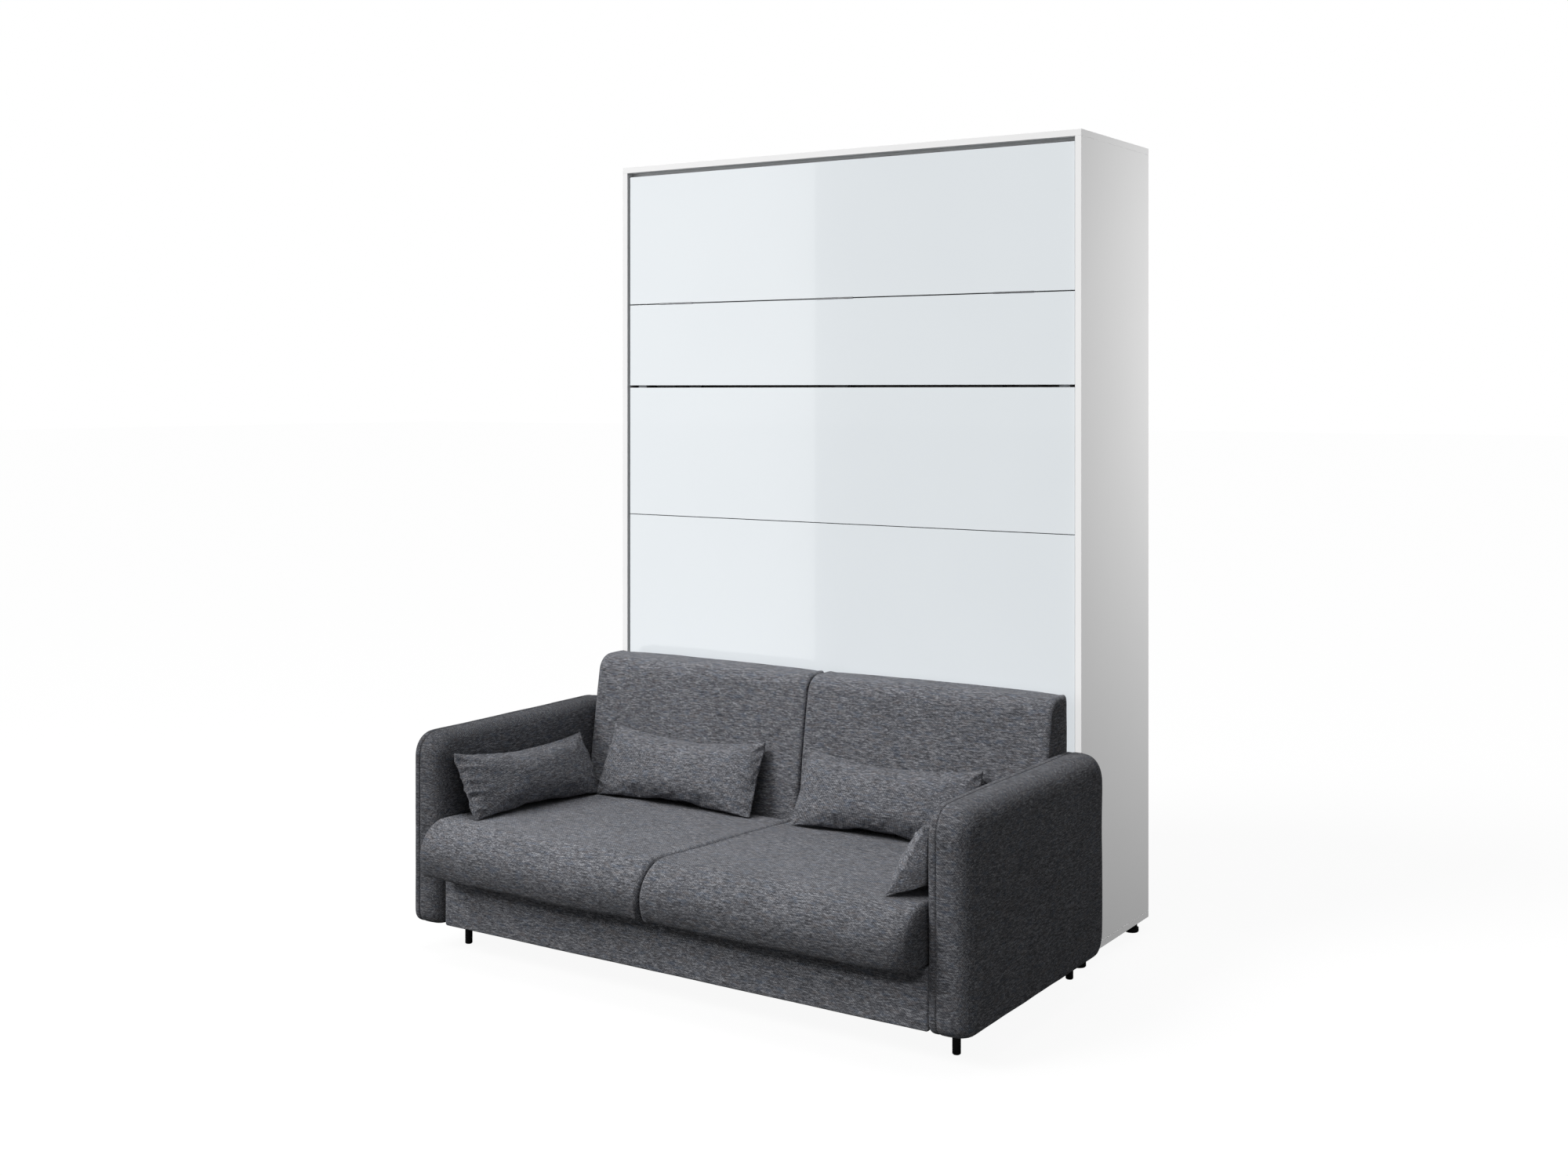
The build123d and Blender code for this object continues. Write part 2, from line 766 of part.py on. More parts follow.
def make_sofa_base():
    base_back_gap = 4.0
    fascia_rounding = 2.4
    base_back_y = arm_back_y - base_back_gap
    deck_bottom = deck_top - board_thickness
    fascia_back_y = base_front_y + fascia_thickness
    fascia = board(
        (-inner_half, base_front_y, arm_bottom),
        (inner_half, fascia_back_y, deck_top),
        fascia_rounding,
    )
    save(fascia, "front_fascia")
    deck = board((-inner_half, fascia_back_y, deck_bottom), (inner_half, base_back_y, deck_top))
    save(deck, "seat_deck")
    rear = board(
        (-inner_half, base_back_y - board_thickness, base_bottom),
        (inner_half, base_back_y, deck_bottom),
    )
    save(rear, "base_rear_rail")
    with BuildPart() as rails:
        for x in (board_thickness / 2 - inner_half, 0, inner_half - board_thickness / 2):
            box_between(
                (x - board_thickness / 2, fascia_back_y, base_bottom),
                (x + board_thickness / 2, base_back_y - board_thickness, deck_bottom),
            )
    save(rails, "base_long_rails")


def make_arms():
    """Upholstered arms: rounded pads over an upright board, which holds the legs."""
    front_corner = 62.0
    back_corner = 74.0
    low_corner = 34.0
    outer_round = 33.0
    inner_round = 16.0
    front, back = arm_front_y, arm_back_y
    low, top = arm_bottom, arm_top
    with BuildPart() as pad:
        with BuildSketch(Plane.YZ.offset(inner_half)):
            with BuildLine():
                Line((front + low_corner, low), (back - back_corner, low))
                RadiusArc((back - back_corner, low), (back, low + back_corner), -back_corner)
                Line((back, low + back_corner), (back, top - back_corner))
                RadiusArc((back, top - back_corner), (back - back_corner, top), -back_corner)
                Line((back - back_corner, top), (front + front_corner, top))
                RadiusArc((front + front_corner, top), (front, top - front_corner), -front_corner)
                Line((front, top - front_corner), (front, low + low_corner))
                RadiusArc((front, low + low_corner), (front + low_corner, low), -low_corner)
            make_face()
        extrude(amount=arm_thickness)
        fillet(pad.faces().sort_by(Axis.X)[-1].edges(), outer_round)
        fillet(pad.faces().sort_by(Axis.X)[0].edges(), inner_round)
        with BuildSketch(Plane.XY.offset(core_bottom)):
            with Locations((core_middle_x, (arm_front_y + arm_back_y) / 2)):
                Rectangle(board_thickness, arm_length - 2 * core_inset)
        extrude(amount=arm_top - core_inset - core_bottom, mode=Mode.SUBTRACT)
        for y in leg_ys:
            with BuildSketch(Plane.XY):
                with Locations((core_middle_x, y)):
                    Circle(leg_radius)
            extrude(amount=core_bottom, mode=Mode.SUBTRACT)
    save(pad, "arm_pad_right")
    save(mirrored(pad), "arm_pad_left")

    stud_places = [
        Plane(origin=(core_middle_x, y, core_bottom), x_dir=(1, 0, 0), z_dir=(0, 0, -1))
        for y in leg_ys
    ]
    core = board(
        (core_x, arm_front_y + core_inset, core_bottom),
        (core_x + board_thickness, arm_back_y - core_inset, arm_top - core_inset),
        holes=[(stud_places, leg_stud_radius, leg_stud_length)],
    )
    save(core, "arm_core_right")
    save(mirrored(core), "arm_core_left")


def make_sofa_legs():
    groove_depth = 1.0
    groove_height = 2.0
    foot_edge = 2.0
    with BuildPart() as legs:
        for x in (-core_middle_x, core_middle_x):
            for y in leg_ys:
                with BuildSketch(Plane.XY.offset(glide_height)):
                    with Locations((x, y)):
                        Circle(leg_radius)
                extrude(amount=core_bottom - glide_height)
                with BuildSketch(Plane.XY.offset(core_bottom)):
                    with Locations((x, y)):
                        Circle(leg_stud_radius)
                extrude(amount=leg_stud_length)
    save(legs, "sofa_legs")
    with BuildPart() as glides:
        for x in (-core_middle_x, core_middle_x):
            for y in leg_ys:
                with BuildSketch(Plane(origin=(x, y, 0), x_dir=(1, 0, 0), z_dir=(0, -1, 0))):
                    with BuildLine():
                        Polyline(
                            (0, 0),
                            (leg_radius - foot_edge, 0),
                            (leg_radius, foot_edge),
                            (leg_radius, glide_height - groove_height),
                            (leg_radius - groove_depth, glide_height - groove_height),
                            (leg_radius - groove_depth, glide_height),
                            (0, glide_height),
                            close=True,
                        )
                    make_face()
                revolve(axis=Axis((x, y, 0), (0, 0, 1)))
    save(glides, "sofa_leg_glides")


def make_link_plates():
    """Steel plates that tie the back of each arm to the cabinet's front edge."""
    link_width = 50.0
    link_bottom = 170.0
    link_height = 260.0
    low_x = inner_half + cushion_gap
    link = board(
        (low_x, arm_back_y, link_bottom), (low_x + link_width, front_y, link_bottom + link_height)
    )
    with BuildPart() as links:
        add(link.part)
        mirror(link.part, about=Plane.YZ)
    save(links, "link_plates")


# Loose soft pieces

seat_back_gap = 3.0
seat_front_y = front_y - sofa_reach
seat_front_height = 144.0
seat_back_height = 116.0
seat_nose_height = 53.0  # of the nose's furthest point over the cushion's base
seat_nose_depth = 90.0
seat_nose_undercut = 16.0
seat_corner = 20.0
back_foot_depth = 196.0
back_head_depth = 134.0
back_front_round = 46.0
back_corner = 16.0
back_bulge = 6.0
station_shares = (0.0, 0.012, 0.04, 0.1, 0.5, 0.9, 0.96, 0.988, 1.0)
draw_shares = (1.0, 0.62, 0.3, 0.08, 0.0, 0.08, 0.3, 0.62, 1.0)
end_draw = 18.0  # how far a cushion's end face is drawn in from its full outline

seat_base = deck_top + rest_gap
seat_back_y = arm_back_y - back_foot_depth - seat_back_gap
seat_run = seat_back_y - seat_corner - seat_front_y - seat_nose_depth
seat_slope = (seat_front_height - seat_back_height) / seat_run
seat_pitch = degrees(atan(seat_slope))


def seat_section(x, draw):
    """Outline of a seat cushion across X: flat base, top falling to the back, full round nose."""
    front = seat_front_y + draw
    back = seat_back_y - draw / 2
    nose = seat_base + seat_nose_height
    top_front = seat_base + seat_front_height - draw
    top_back = seat_base + seat_back_height - draw
    with BuildSketch(Plane.YZ.offset(x)) as section:
        with BuildLine():
            Line((front + seat_nose_undercut, seat_base), (back, seat_base))
            Line((back, seat_base), (back, top_back - seat_corner))
            RadiusArc((back, top_back - seat_corner), (back - seat_corner, top_back), -seat_corner)
            Line((back - seat_corner, top_back), (front + seat_nose_depth, top_front))
            TangentArc((front, nose), (front + seat_nose_depth, top_front), tangent=(0, 1))
            TangentArc((front, nose), (front + seat_nose_undercut, seat_base), tangent=(0, -1))
        make_face()
    return section.sketch


def back_section(x, draw):
    """Outline of a back cushion across X: upright back, round head, full front sloping to the foot."""
    top = back_cushion_top - draw
    back = arm_back_y - draw / 2
    foot = arm_back_y - back_foot_depth + draw
    head = arm_back_y - back_head_depth + draw
    head_z = top - back_front_round
    middle_y = (head + foot) / 2 - back_bulge
    middle_z = (head_z + seat_base + back_corner) / 2
    with BuildSketch(Plane.YZ.offset(x)) as section:
        with BuildLine():
            Line((foot + back_corner, seat_base), (back, seat_base))
            Line((back, seat_base), (back, top - back_corner))
            RadiusArc((back, top - back_corner), (back - back_corner, top), -back_corner)
            Line((back - back_corner, top), (head + back_front_round, top))
            RadiusArc((head + back_front_round, top), (head, head_z), -back_front_round)
            ThreePointArc((head, head_z), (middle_y, middle_z), (foot, seat_base + back_corner))
            RadiusArc((foot, seat_base + back_corner), (foot + back_corner, seat_base), -back_corner)
        make_face()
    return section.sketch


def make_cushions(section, name):
    """The right and left cushion of a pair, as a loft of one kind of section."""
    width = inner_half - 2 * cushion_gap
    sections = [
        section(cushion_gap + share * width, draw * end_draw)
        for share, draw in zip(station_shares, draw_shares)
    ]
    with BuildPart() as cushion:
        loft(sections, ruled=True)
    save(cushion, name + "_right")
    save(mirrored(cushion), name + "_left")


pillow_left_side = 122.0  # of the left back pillow's end from the arm
pillow_right_side = 169.0
pillow_gap = 149.0  # between the two back pillows
pillow_length = inner_half - (pillow_left_side + pillow_right_side + pillow_gap) / 2
pillow_height = 186.0
pillow_thickness = 110.0
pillow_station_shares = (-0.5, -0.46, -0.34, 0.0, 0.34, 0.46, 0.5)
pillow_height_shares = (0.97, 0.97, 0.93, 0.9, 0.93, 0.97, 0.97)
pillow_fullness_shares = (0.07, 0.4, 0.85, 1.0, 0.85, 0.4, 0.07)


def pillow(middle, lean, turn, pitch=0.0):
    """A lumbar pillow with drawn-in long sides, leaning back, turned about Z and pitched lengthways."""
    flat = Vector(cos(radians(turn)), sin(radians(turn)), 0)
    along = flat * cos(radians(pitch)) + Vector(0, 0, sin(radians(pitch)))
    outward = Vector(sin(radians(turn)), -cos(radians(turn)), 0)
    rise = outward * -sin(radians(lean)) + Vector(0, 0, cos(radians(lean)))
    with BuildPart() as piece:
        for station, height, fullness in zip(
            pillow_station_shares, pillow_height_shares, pillow_fullness_shares
        ):
            centre = Vector(*middle) + along * (station * pillow_length)
            half = pillow_height * height / 2
            bulge = pillow_thickness * fullness / 2
            with BuildSketch(Plane(origin=centre, x_dir=rise, z_dir=along)):
                with BuildLine():
                    ThreePointArc((-half, 0), (0, bulge), (half, 0))
                    ThreePointArc((half, 0), (0, -bulge), (-half, 0))
                make_face()
        loft()
    return piece


def seat_top(y):
    """Height of the seat cushions' top at a place along Y."""
    return seat_base + seat_front_height - (y - seat_front_y - seat_nose_depth) * seat_slope


def make_pillows():
    """Two pillows against the back cushions and one against each arm, all resting on the seat."""
    back_lean = 26.0
    back_reach = 37.5  # of a back pillow's middle before the back cushion's foot
    back_lift = 82.3  # of its middle over the seat
    left_x = inner_half - pillow_left_side - pillow_length / 2
    right_x = inner_half - pillow_right_side - pillow_length / 2
    arm_lean = 30.0
    arm_reach = 60.2  # of an arm pillow's middle before the arm
    arm_lift = 77.4
    left_middle = 505.0  # of its middle before the sofa's back
    right_middle = 530.0
    back_y = arm_back_y - back_foot_depth - back_reach
    back_z = seat_top(back_y) + back_lift
    save(pillow((-left_x, back_y, back_z), back_lean, 0), "pillow_left_back")
    save(pillow((right_x, back_y, back_z), back_lean, 0), "pillow_right_back")
    arm_x = inner_half - arm_reach
    left_y = arm_back_y - left_middle
    left_place = (-arm_x, left_y, seat_top(left_y) + arm_lift)
    save(pillow(left_place, arm_lean, 90, -seat_pitch), "pillow_left_arm")
    right_y = arm_back_y - right_middle
    right_place = (arm_x, right_y, seat_top(right_y) + arm_lift)
    save(pillow(right_place, arm_lean, -90, seat_pitch), "pillow_right_arm")


make_cabinet_boards()
make_cabinet_screws()
make_back()
make_stop()
make_cabinet_feet()
make_pivot()
make_struts()
make_frame()
make_end_boards()
make_slats()
make_mattress()
make_fronts()
make_flap_hinges()
make_flap_fittings()
make_sofa_base()
make_arms()
make_sofa_legs()
make_link_plates()
make_cushions(seat_section, "seat_cushion")
make_cushions(back_section, "back_cushion")
make_pillows()
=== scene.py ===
"""Looks of the wall bed with sofa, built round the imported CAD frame.

Metres, +Z up, the wall on the +Y side.
"""

import json
import math

import bmesh
import bpy
from mathutils import Matrix, Vector, noise


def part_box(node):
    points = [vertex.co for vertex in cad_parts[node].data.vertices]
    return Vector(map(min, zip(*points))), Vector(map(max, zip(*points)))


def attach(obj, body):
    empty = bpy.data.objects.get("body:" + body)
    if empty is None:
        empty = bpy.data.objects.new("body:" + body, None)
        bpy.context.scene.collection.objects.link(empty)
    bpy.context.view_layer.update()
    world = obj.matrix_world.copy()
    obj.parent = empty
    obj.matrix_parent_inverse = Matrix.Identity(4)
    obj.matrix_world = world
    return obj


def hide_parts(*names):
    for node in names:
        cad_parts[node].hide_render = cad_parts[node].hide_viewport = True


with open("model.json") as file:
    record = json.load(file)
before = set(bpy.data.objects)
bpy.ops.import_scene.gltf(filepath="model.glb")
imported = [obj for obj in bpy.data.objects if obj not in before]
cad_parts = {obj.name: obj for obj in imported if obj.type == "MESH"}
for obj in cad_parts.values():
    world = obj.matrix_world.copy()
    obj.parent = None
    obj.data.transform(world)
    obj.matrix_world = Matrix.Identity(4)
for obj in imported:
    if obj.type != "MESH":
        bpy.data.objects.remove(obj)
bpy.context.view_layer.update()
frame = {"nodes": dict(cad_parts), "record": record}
nodes = frame["nodes"]


# Shader helpers

NOISE_LOW, NOISE_HIGH = 0.3, 0.7  # most of a noise's values lie between them


class Shader:
    """A material with a principled shader, and short calls to add nodes to it."""

    def __init__(self, name, **values):
        self.material = bpy.data.materials.new(name)
        self.material.use_nodes = True
        self.tree = self.material.node_tree
        self.tree.nodes.clear()
        self.surface = self.add("BsdfPrincipled", **values)
        self.add("OutputMaterial", Surface=self.surface.outputs["BSDF"])

    def feed(self, socket, term):
        """Links a socket or sets its value; a plain colour gets its alpha."""
        if isinstance(term, bpy.types.NodeSocket):
            self.tree.links.new(term, socket)
        elif socket.type == "RGBA":
            socket.default_value = (*term, 1.0)
        else:
            socket.default_value = term

    def add(self, kind, **values):
        """A node; values name its settings or sockets, with _ for a space."""
        node = self.tree.nodes.new("ShaderNode" + kind)
        for key, value in values.items():
            name = key.replace("_", " ")
            socket = next((s for s in node.inputs if s.name == name and s.enabled), None)
            if hasattr(node, key):
                setattr(node, key, value)
            elif socket is None:
                raise KeyError(kind + " has no " + key)
            else:
                self.feed(socket, value)
        return node

    def combine(self, kind, numbers, terms, **settings):
        """A node whose input sockets, by their numbers, take the terms."""
        node = self.add(kind, **settings)
        for number, term in zip(numbers, terms):
            self.feed(node.inputs[number], term)
        return node

    def math(self, operation, *terms):
        return self.combine("Math", (0, 1), terms, operation=operation).outputs[0]

    def vector_math(self, operation, *terms):
        return self.combine("VectorMath", (0, 1), terms, operation=operation).outputs[0]

    def mix(self, factor, a, b):
        """Colour a, or b where the factor is 1."""
        return self.combine("Mix", (0, 6, 7), (factor, a, b), data_type="RGBA").outputs[2]

    def pick(self, factor, a, b):
        """Vector a, or b where the factor is 1."""
        return self.combine("Mix", (0, 4, 5), (factor, a, b), data_type="VECTOR").outputs[1]

    def span(self, value, low, high, to_low, to_high):
        """A value mapped from one range to another."""
        return self.combine("MapRange", range(5), (value, low, high, to_low, to_high)).outputs[0]

    def place(self):
        """The piece's own coordinates, in metres."""
        return self.add("TexCoord").outputs["Object"]

    def noise(self, vector, scale, detail=2.0, roughness=0.5):
        return self.add(
            "TexNoise", Vector=vector, Scale=scale, Detail=detail, Roughness=roughness
        ).outputs[0]

    def ramp(self, factor, *stops):
        """A colour ramp through (position, colour) stops."""
        node = self.combine("ValToRGB", (0,), (factor,))
        elements = node.color_ramp.elements
        while len(elements) < len(stops):
            elements.new(0.5)
        for element, (position, colour) in zip(elements, stops):
            element.position = position
            element.color = (*colour, 1.0)
        return node.outputs["Color"]

    def bump(self, height, strength, distance, under=None):
        """A normal from a height, laid on another normal where under gives one."""
        node = self.add("Bump", Strength=strength, Distance=distance, Height=height)
        if under is not None:
            self.feed(node.inputs["Normal"], under)
        return node.outputs[0]

    def colour(self, socket):
        self.feed(self.surface.inputs["Base Color"], socket)

    def mottled(self, value, a, b, low=NOISE_LOW, high=NOISE_HIGH):
        """Base colour a where a noise is low, and b where it is high."""
        self.colour(self.mix(self.span(value, low, high, 0.0, 1.0), a, b))

    def roughness(self, value, low, high):
        """Roughness from low to high with a noise."""
        span = self.span(value, NOISE_LOW, NOISE_HIGH, low, high)
        self.feed(self.surface.inputs["Roughness"], span)

    def normal(self, socket):
        self.feed(self.surface.inputs["Normal"], socket)


def grey(level, tint=(1.0, 1.0, 1.0)):
    return tuple(level * part for part in tint)


# Materials


def upholstery(name):
    """Slate melange weave. Its slubs run along X, and along Y on faces that look sideways."""
    shader = Shader(
        name, Roughness=0.92, Specular_IOR_Level=0.15, Sheen_Weight=0.06, Sheen_Roughness=0.5
    )
    place = shader.place()
    sideways_from = 0.74  # of the normal's X
    facing = shader.add("SeparateXYZ", Vector=shader.add("TexCoord").outputs["Normal"])
    steepness = shader.math("ABSOLUTE", facing.outputs["X"])
    sideways = shader.math("GREATER_THAN", steepness, sideways_from)

    def drawn_out(length, width, seed):
        """Coordinates for a noise that is drawn out along the thread, in metres."""
        straight = shader.vector_math("MULTIPLY", place, (1 / length, 1 / width, 1 / width))
        turned = shader.vector_math("MULTIPLY", place, (1 / width, 1 / length, 1 / width))
        picked = shader.pick(sideways, straight, turned)
        return shader.vector_math("ADD", picked, (seed, seed * 0.7, seed * 1.3))

    slub = shader.noise(drawn_out(length=0.019, width=0.0031, seed=0.0), 1.0, roughness=0.6)
    yarn = shader.noise(drawn_out(length=0.0062, width=0.0019, seed=7.0), 1.0, roughness=0.6)
    blue = shader.noise(drawn_out(length=0.030, width=0.009, seed=19.0), 1.0, detail=1.0)
    warm = shader.noise(drawn_out(length=0.026, width=0.008, seed=31.0), 1.0, detail=1.0)
    nap = shader.noise(place, 620.0, detail=1.0)
    cloud = shader.noise(place, 7.0)
    twill = shader.add(
        "TexWave",
        bands_direction="DIAGONAL",
        Scale=95.0,
        Distortion=1.4,
        Detail=1.0,
        Vector=place,
    ).outputs["Fac"]
    thread = shader.math(
        "ADD", shader.math("MULTIPLY", slub, 0.50), shader.math("MULTIPLY", yarn, 0.50)
    )
    tone = shader.ramp(
        thread,
        (0.36, (0.040, 0.041, 0.046)),
        (0.46, (0.093, 0.095, 0.106)),
        (0.53, (0.143, 0.146, 0.160)),
        (0.62, (0.280, 0.285, 0.305)),
    )
    tone = shader.mix(shader.span(blue, 0.55, 0.70, 0.0, 0.30), tone, (0.085, 0.115, 0.165))
    tone = shader.mix(shader.span(warm, 0.55, 0.70, 0.0, 0.26), tone, (0.165, 0.140, 0.130))
    level = shader.span(twill, 0.0, 1.0, 0.81, 1.15)
    for value, low, high in ((cloud, 0.94, 1.06), (nap, 0.90, 1.10)):
        level = shader.math(
            "MULTIPLY", level, shader.span(value, NOISE_LOW, NOISE_HIGH, low, high)
        )
    toned = shader.combine("VectorMath", (0, 3), (tone, level), operation="SCALE")
    shader.colour(toned.outputs[0])
    relief = shader.math("ADD", thread, shader.math("MULTIPLY", twill, 0.25))
    shader.normal(shader.bump(relief, strength=0.6, distance=0.0014))
    return shader.material


def laminate(name, level, tint, roughness):
    """White laminate: a faint cloud in its tone, a fine print and a soft satin surface."""
    shader = Shader(name, Specular_IOR_Level=0.4)
    place = shader.place()
    fine = shader.noise(place, 900.0)
    shader.mottled(shader.noise(place, 3.0), grey(level * 0.985, tint), grey(level, tint))
    shader.roughness(fine, roughness - 0.04, roughness + 0.04)
    shader.normal(shader.bump(fine, strength=0.12, distance=0.0002))
    return shader.material


def gloss_front(name):
    """High-gloss lacquered board, bluish white, with the faint waviness of lacquer."""
    shader = Shader(name, Roughness=0.16, Coat_Weight=1.0, Coat_Roughness=0.035, Coat_IOR=1.55)
    place = shader.place()
    shader.mottled(shader.noise(place, 2.2), (0.715, 0.752, 0.778), (0.728, 0.765, 0.790))
    wave = shader.noise(place, 7.0, detail=1.0)
    peel = shader.noise(place, 420.0, detail=1.0)
    soft = shader.bump(wave, strength=0.10, distance=0.0008)
    shader.normal(shader.bump(peel, strength=0.03, distance=0.0001, under=soft))
    return shader.material


def grained(name, light, dark, roughness, scale=1.0):
    """Wood with its grain along X."""
    shader = Shader(name, Specular_IOR_Level=0.35)
    stretched = shader.vector_math("MULTIPLY", shader.place(), (1.2, 22.0, 22.0))
    grain = shader.noise(stretched, 1.6 * scale, detail=5.0, roughness=0.6)
    pores = shader.noise(stretched, 14.0 * scale, detail=3.0, roughness=0.7)
    mixed = shader.math(
        "ADD", shader.math("MULTIPLY", grain, 0.75), shader.math("MULTIPLY", pores, 0.25)
    )
    shader.colour(shader.ramp(mixed, (0.34, dark), (0.5, light), (0.68, grey(1.06, light))))
    shader.roughness(pores, roughness - 0.06, roughness + 0.08)
    shader.normal(shader.bump(mixed, strength=0.25, distance=0.0004))
    return shader.material


def coated_metal(name, colour, roughness, peel=260.0, depth=0.0003):
    """Powder coat or paint with a fine orange peel."""
    shader = Shader(name, Specular_IOR_Level=0.5)
    place = shader.place()
    skin = shader.noise(place, peel, detail=3.0)
    shader.mottled(shader.noise(place, 6.0), grey(0.94, colour), colour)
    shader.roughness(skin, roughness - 0.06, roughness + 0.08)
    shader.normal(shader.bump(skin, strength=0.35, distance=depth))
    return shader.material


def bare_steel(name):
    """Zinc-plated steel with fine brushing and a mottled plating."""
    shader = Shader(name, Metallic=1.0)
    place = shader.place()
    brushed = shader.vector_math("MULTIPLY", place, (40.0, 40.0, 900.0))
    brush = shader.noise(brushed, 2.0, detail=3.0)
    spangle = shader.noise(place, 60.0)
    shader.mottled(spangle, (0.52, 0.53, 0.55), (0.66, 0.67, 0.68), low=0.35, high=0.65)
    shader.roughness(brush, 0.26, 0.42)
    shader.normal(shader.bump(brush, strength=0.15, distance=0.0002))
    return shader.material


def moulded(name, colour, roughness):
    """Moulded plastic or rubber with a fine spark-eroded grain and lighter scuffs."""
    shader = Shader(name, Specular_IOR_Level=0.45)
    place = shader.place()
    grain = shader.noise(place, 1400.0)
    scuff = shader.noise(place, 45.0, detail=4.0, roughness=0.7)
    shader.colour(shader.mix(shader.span(scuff, 0.5, 0.75, 0.0, 0.35), colour, grey(1.8, colour)))
    shader.roughness(scuff, roughness - 0.07, roughness + 0.1)
    shader.normal(shader.bump(grain, strength=0.2, distance=0.0002))
    return shader.material


def knitted(name):
    """The mattress's cover: off-white knit with small dimples."""
    shader = Shader(name, Roughness=0.9, Sheen_Weight=0.15, Specular_IOR_Level=0.2)
    place = shader.place()
    cells = shader.add("TexVoronoi", Scale=260.0, Vector=place)
    cloud = shader.noise(place, 12.0, detail=3.0)
    shader.mottled(cloud, (0.54, 0.53, 0.51), (0.60, 0.59, 0.575))
    shader.normal(shader.bump(cells.outputs["Distance"], strength=0.4, distance=0.0012))
    return shader.material


def strap_weave(name):
    """Dark webbing with a ribbed weave."""
    shader = Shader(name, Roughness=0.8, Sheen_Weight=0.1, Specular_IOR_Level=0.25)
    rib = shader.add(
        "TexWave", bands_direction="Z", Scale=160.0, Distortion=0.6, Vector=shader.place()
    ).outputs["Fac"]
    shader.colour(shader.mix(rib, (0.022, 0.022, 0.024), (0.050, 0.050, 0.053)))
    shader.normal(shader.bump(rib, strength=0.5, distance=0.0006))
    return shader.material


slot_materials = {
    "upholstery": upholstery("fabric"),
    "carcass_white": laminate("carcass_laminate", 0.80, (1.0, 1.0, 1.0), 0.42),
    "bed_board": laminate("inner_laminate", 0.66, (1.0, 0.995, 0.985), 0.5),
    "front_gloss": gloss_front("front_lacquer"),
    "timber": grained("board_raw", (0.50, 0.35, 0.20), (0.36, 0.23, 0.12), 0.62),
    "slat_wood": grained("slat_beech", (0.60, 0.42, 0.24), (0.44, 0.29, 0.15), 0.38, 1.6),
    "frame_steel": coated_metal("frame_coat", (0.50, 0.51, 0.52), 0.42),
    "black_steel": coated_metal("strut_black", (0.012, 0.012, 0.013), 0.24, 120.0, 0.0001),
    "bright_steel": bare_steel("zinc_steel"),
    "black_plastic": moulded("black_plastic", (0.010, 0.010, 0.011), 0.42),
    "rubber": moulded("grey_rubber", (0.030, 0.030, 0.031), 0.78),
    "mattress_cover": knitted("cover_knit"),
    "webbing": strap_weave("webbing"),
}
for entry in frame["record"]["subparts"]:
    slots = nodes[entry["node"]].data.materials
    for index in range(len(slots)):
        slots[index] = slot_materials[entry["material_slot"]]


# Mesh helpers


def new_piece(name, mesh_code, body, slot_name, *replaced, fill=None):
    """A mesh object that rides on a body and stands for CAD nodes, in its slot's material."""
    mesh = bpy.data.meshes.new(name)
    mesh_code.to_mesh(mesh)
    mesh_code.free()
    mesh.materials.append(slot_materials[slot_name])
    for polygon in mesh.polygons:
        polygon.use_smooth = True
    piece = bpy.data.objects.new(name, mesh)
    bpy.context.scene.collection.objects.link(piece)
    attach(piece, body)
    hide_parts(*replaced)
    return piece


def ringed(rings):
    """A closed skin through rings of points, each with as many, and a point at each end."""
    code = bmesh.new()
    made = [[code.verts.new(point) for point in ring] for ring in rings]
    for lower, upper in zip(made, made[1:]):
        for index in range(len(lower)):
            following = (index + 1) % len(lower)
            code.faces.new((lower[index], lower[following], upper[following], upper[index]))
    for ring, flip in ((made[0], True), (made[-1], False)):
        middle = code.verts.new(sum((v.co for v in ring), Vector()) / len(ring))
        for index in range(len(ring)):
            trio = (ring[index], ring[(index + 1) % len(ring)], middle)
            code.faces.new(trio[::-1] if flip else trio)
    bmesh.ops.recalc_face_normals(code, faces=code.faces)
    return code


def arc(centre, radius, start, end, steps):
    """Points on an arc, angles in degrees."""
    angles = [math.radians(start + (end - start) * k / steps) for k in range(steps + 1)]
    return [(centre[0] + radius * math.cos(a), centre[1] + radius * math.sin(a)) for a in angles]


def quarter_round(radius, steps):
    """From a flat end round to the full form: (how far along, how far drawn in)."""
    angles = [math.radians(90 * k / steps) for k in range(steps + 1)]
    return [(radius * (1 - math.cos(a)), radius * (1 - math.sin(a))) for a in angles]


def resampled(points, count):
    """Evenly spaced points round a closed outline."""
    closed = points + points[:1]
    lengths = [math.dist(a, b) for a, b in zip(closed, closed[1:])]
    total = sum(lengths)
    result, index, passed = [], 0, 0.0
    for k in range(count):
        wanted = total * k / count
        while passed + lengths[index] < wanted and index < len(lengths) - 1:
            passed += lengths[index]
            index += 1
        share = (wanted - passed) / lengths[index] if lengths[index] else 0.0
        a, b = closed[index], closed[index + 1]
        result.append((a[0] + (b[0] - a[0]) * share, a[1] + (b[1] - a[1]) * share))
    return result


def smoothed(points, rounds):
    """A closed outline eased by averaging neighbours."""
    for _ in range(rounds):
        points = [
            (
                (points[k - 1][0] + 2 * p[0] + points[(k + 1) % len(points)][0]) / 4,
                (points[k - 1][1] + 2 * p[1] + points[(k + 1) % len(points)][1]) / 4,
            )
            for k, p in enumerate(points)
        ]
    return points


def inset(points, distance):
    """An outline drawn in along its own normals."""
    count = len(points)
    result = []
    for k, point in enumerate(points):
        before, after = points[k - 1], points[(k + 1) % count]
        along = Vector((after[0] - before[0], after[1] - before[1])).normalized()
        result.append((point[0] - along.y * distance, point[1] + along.x * distance))
    return result


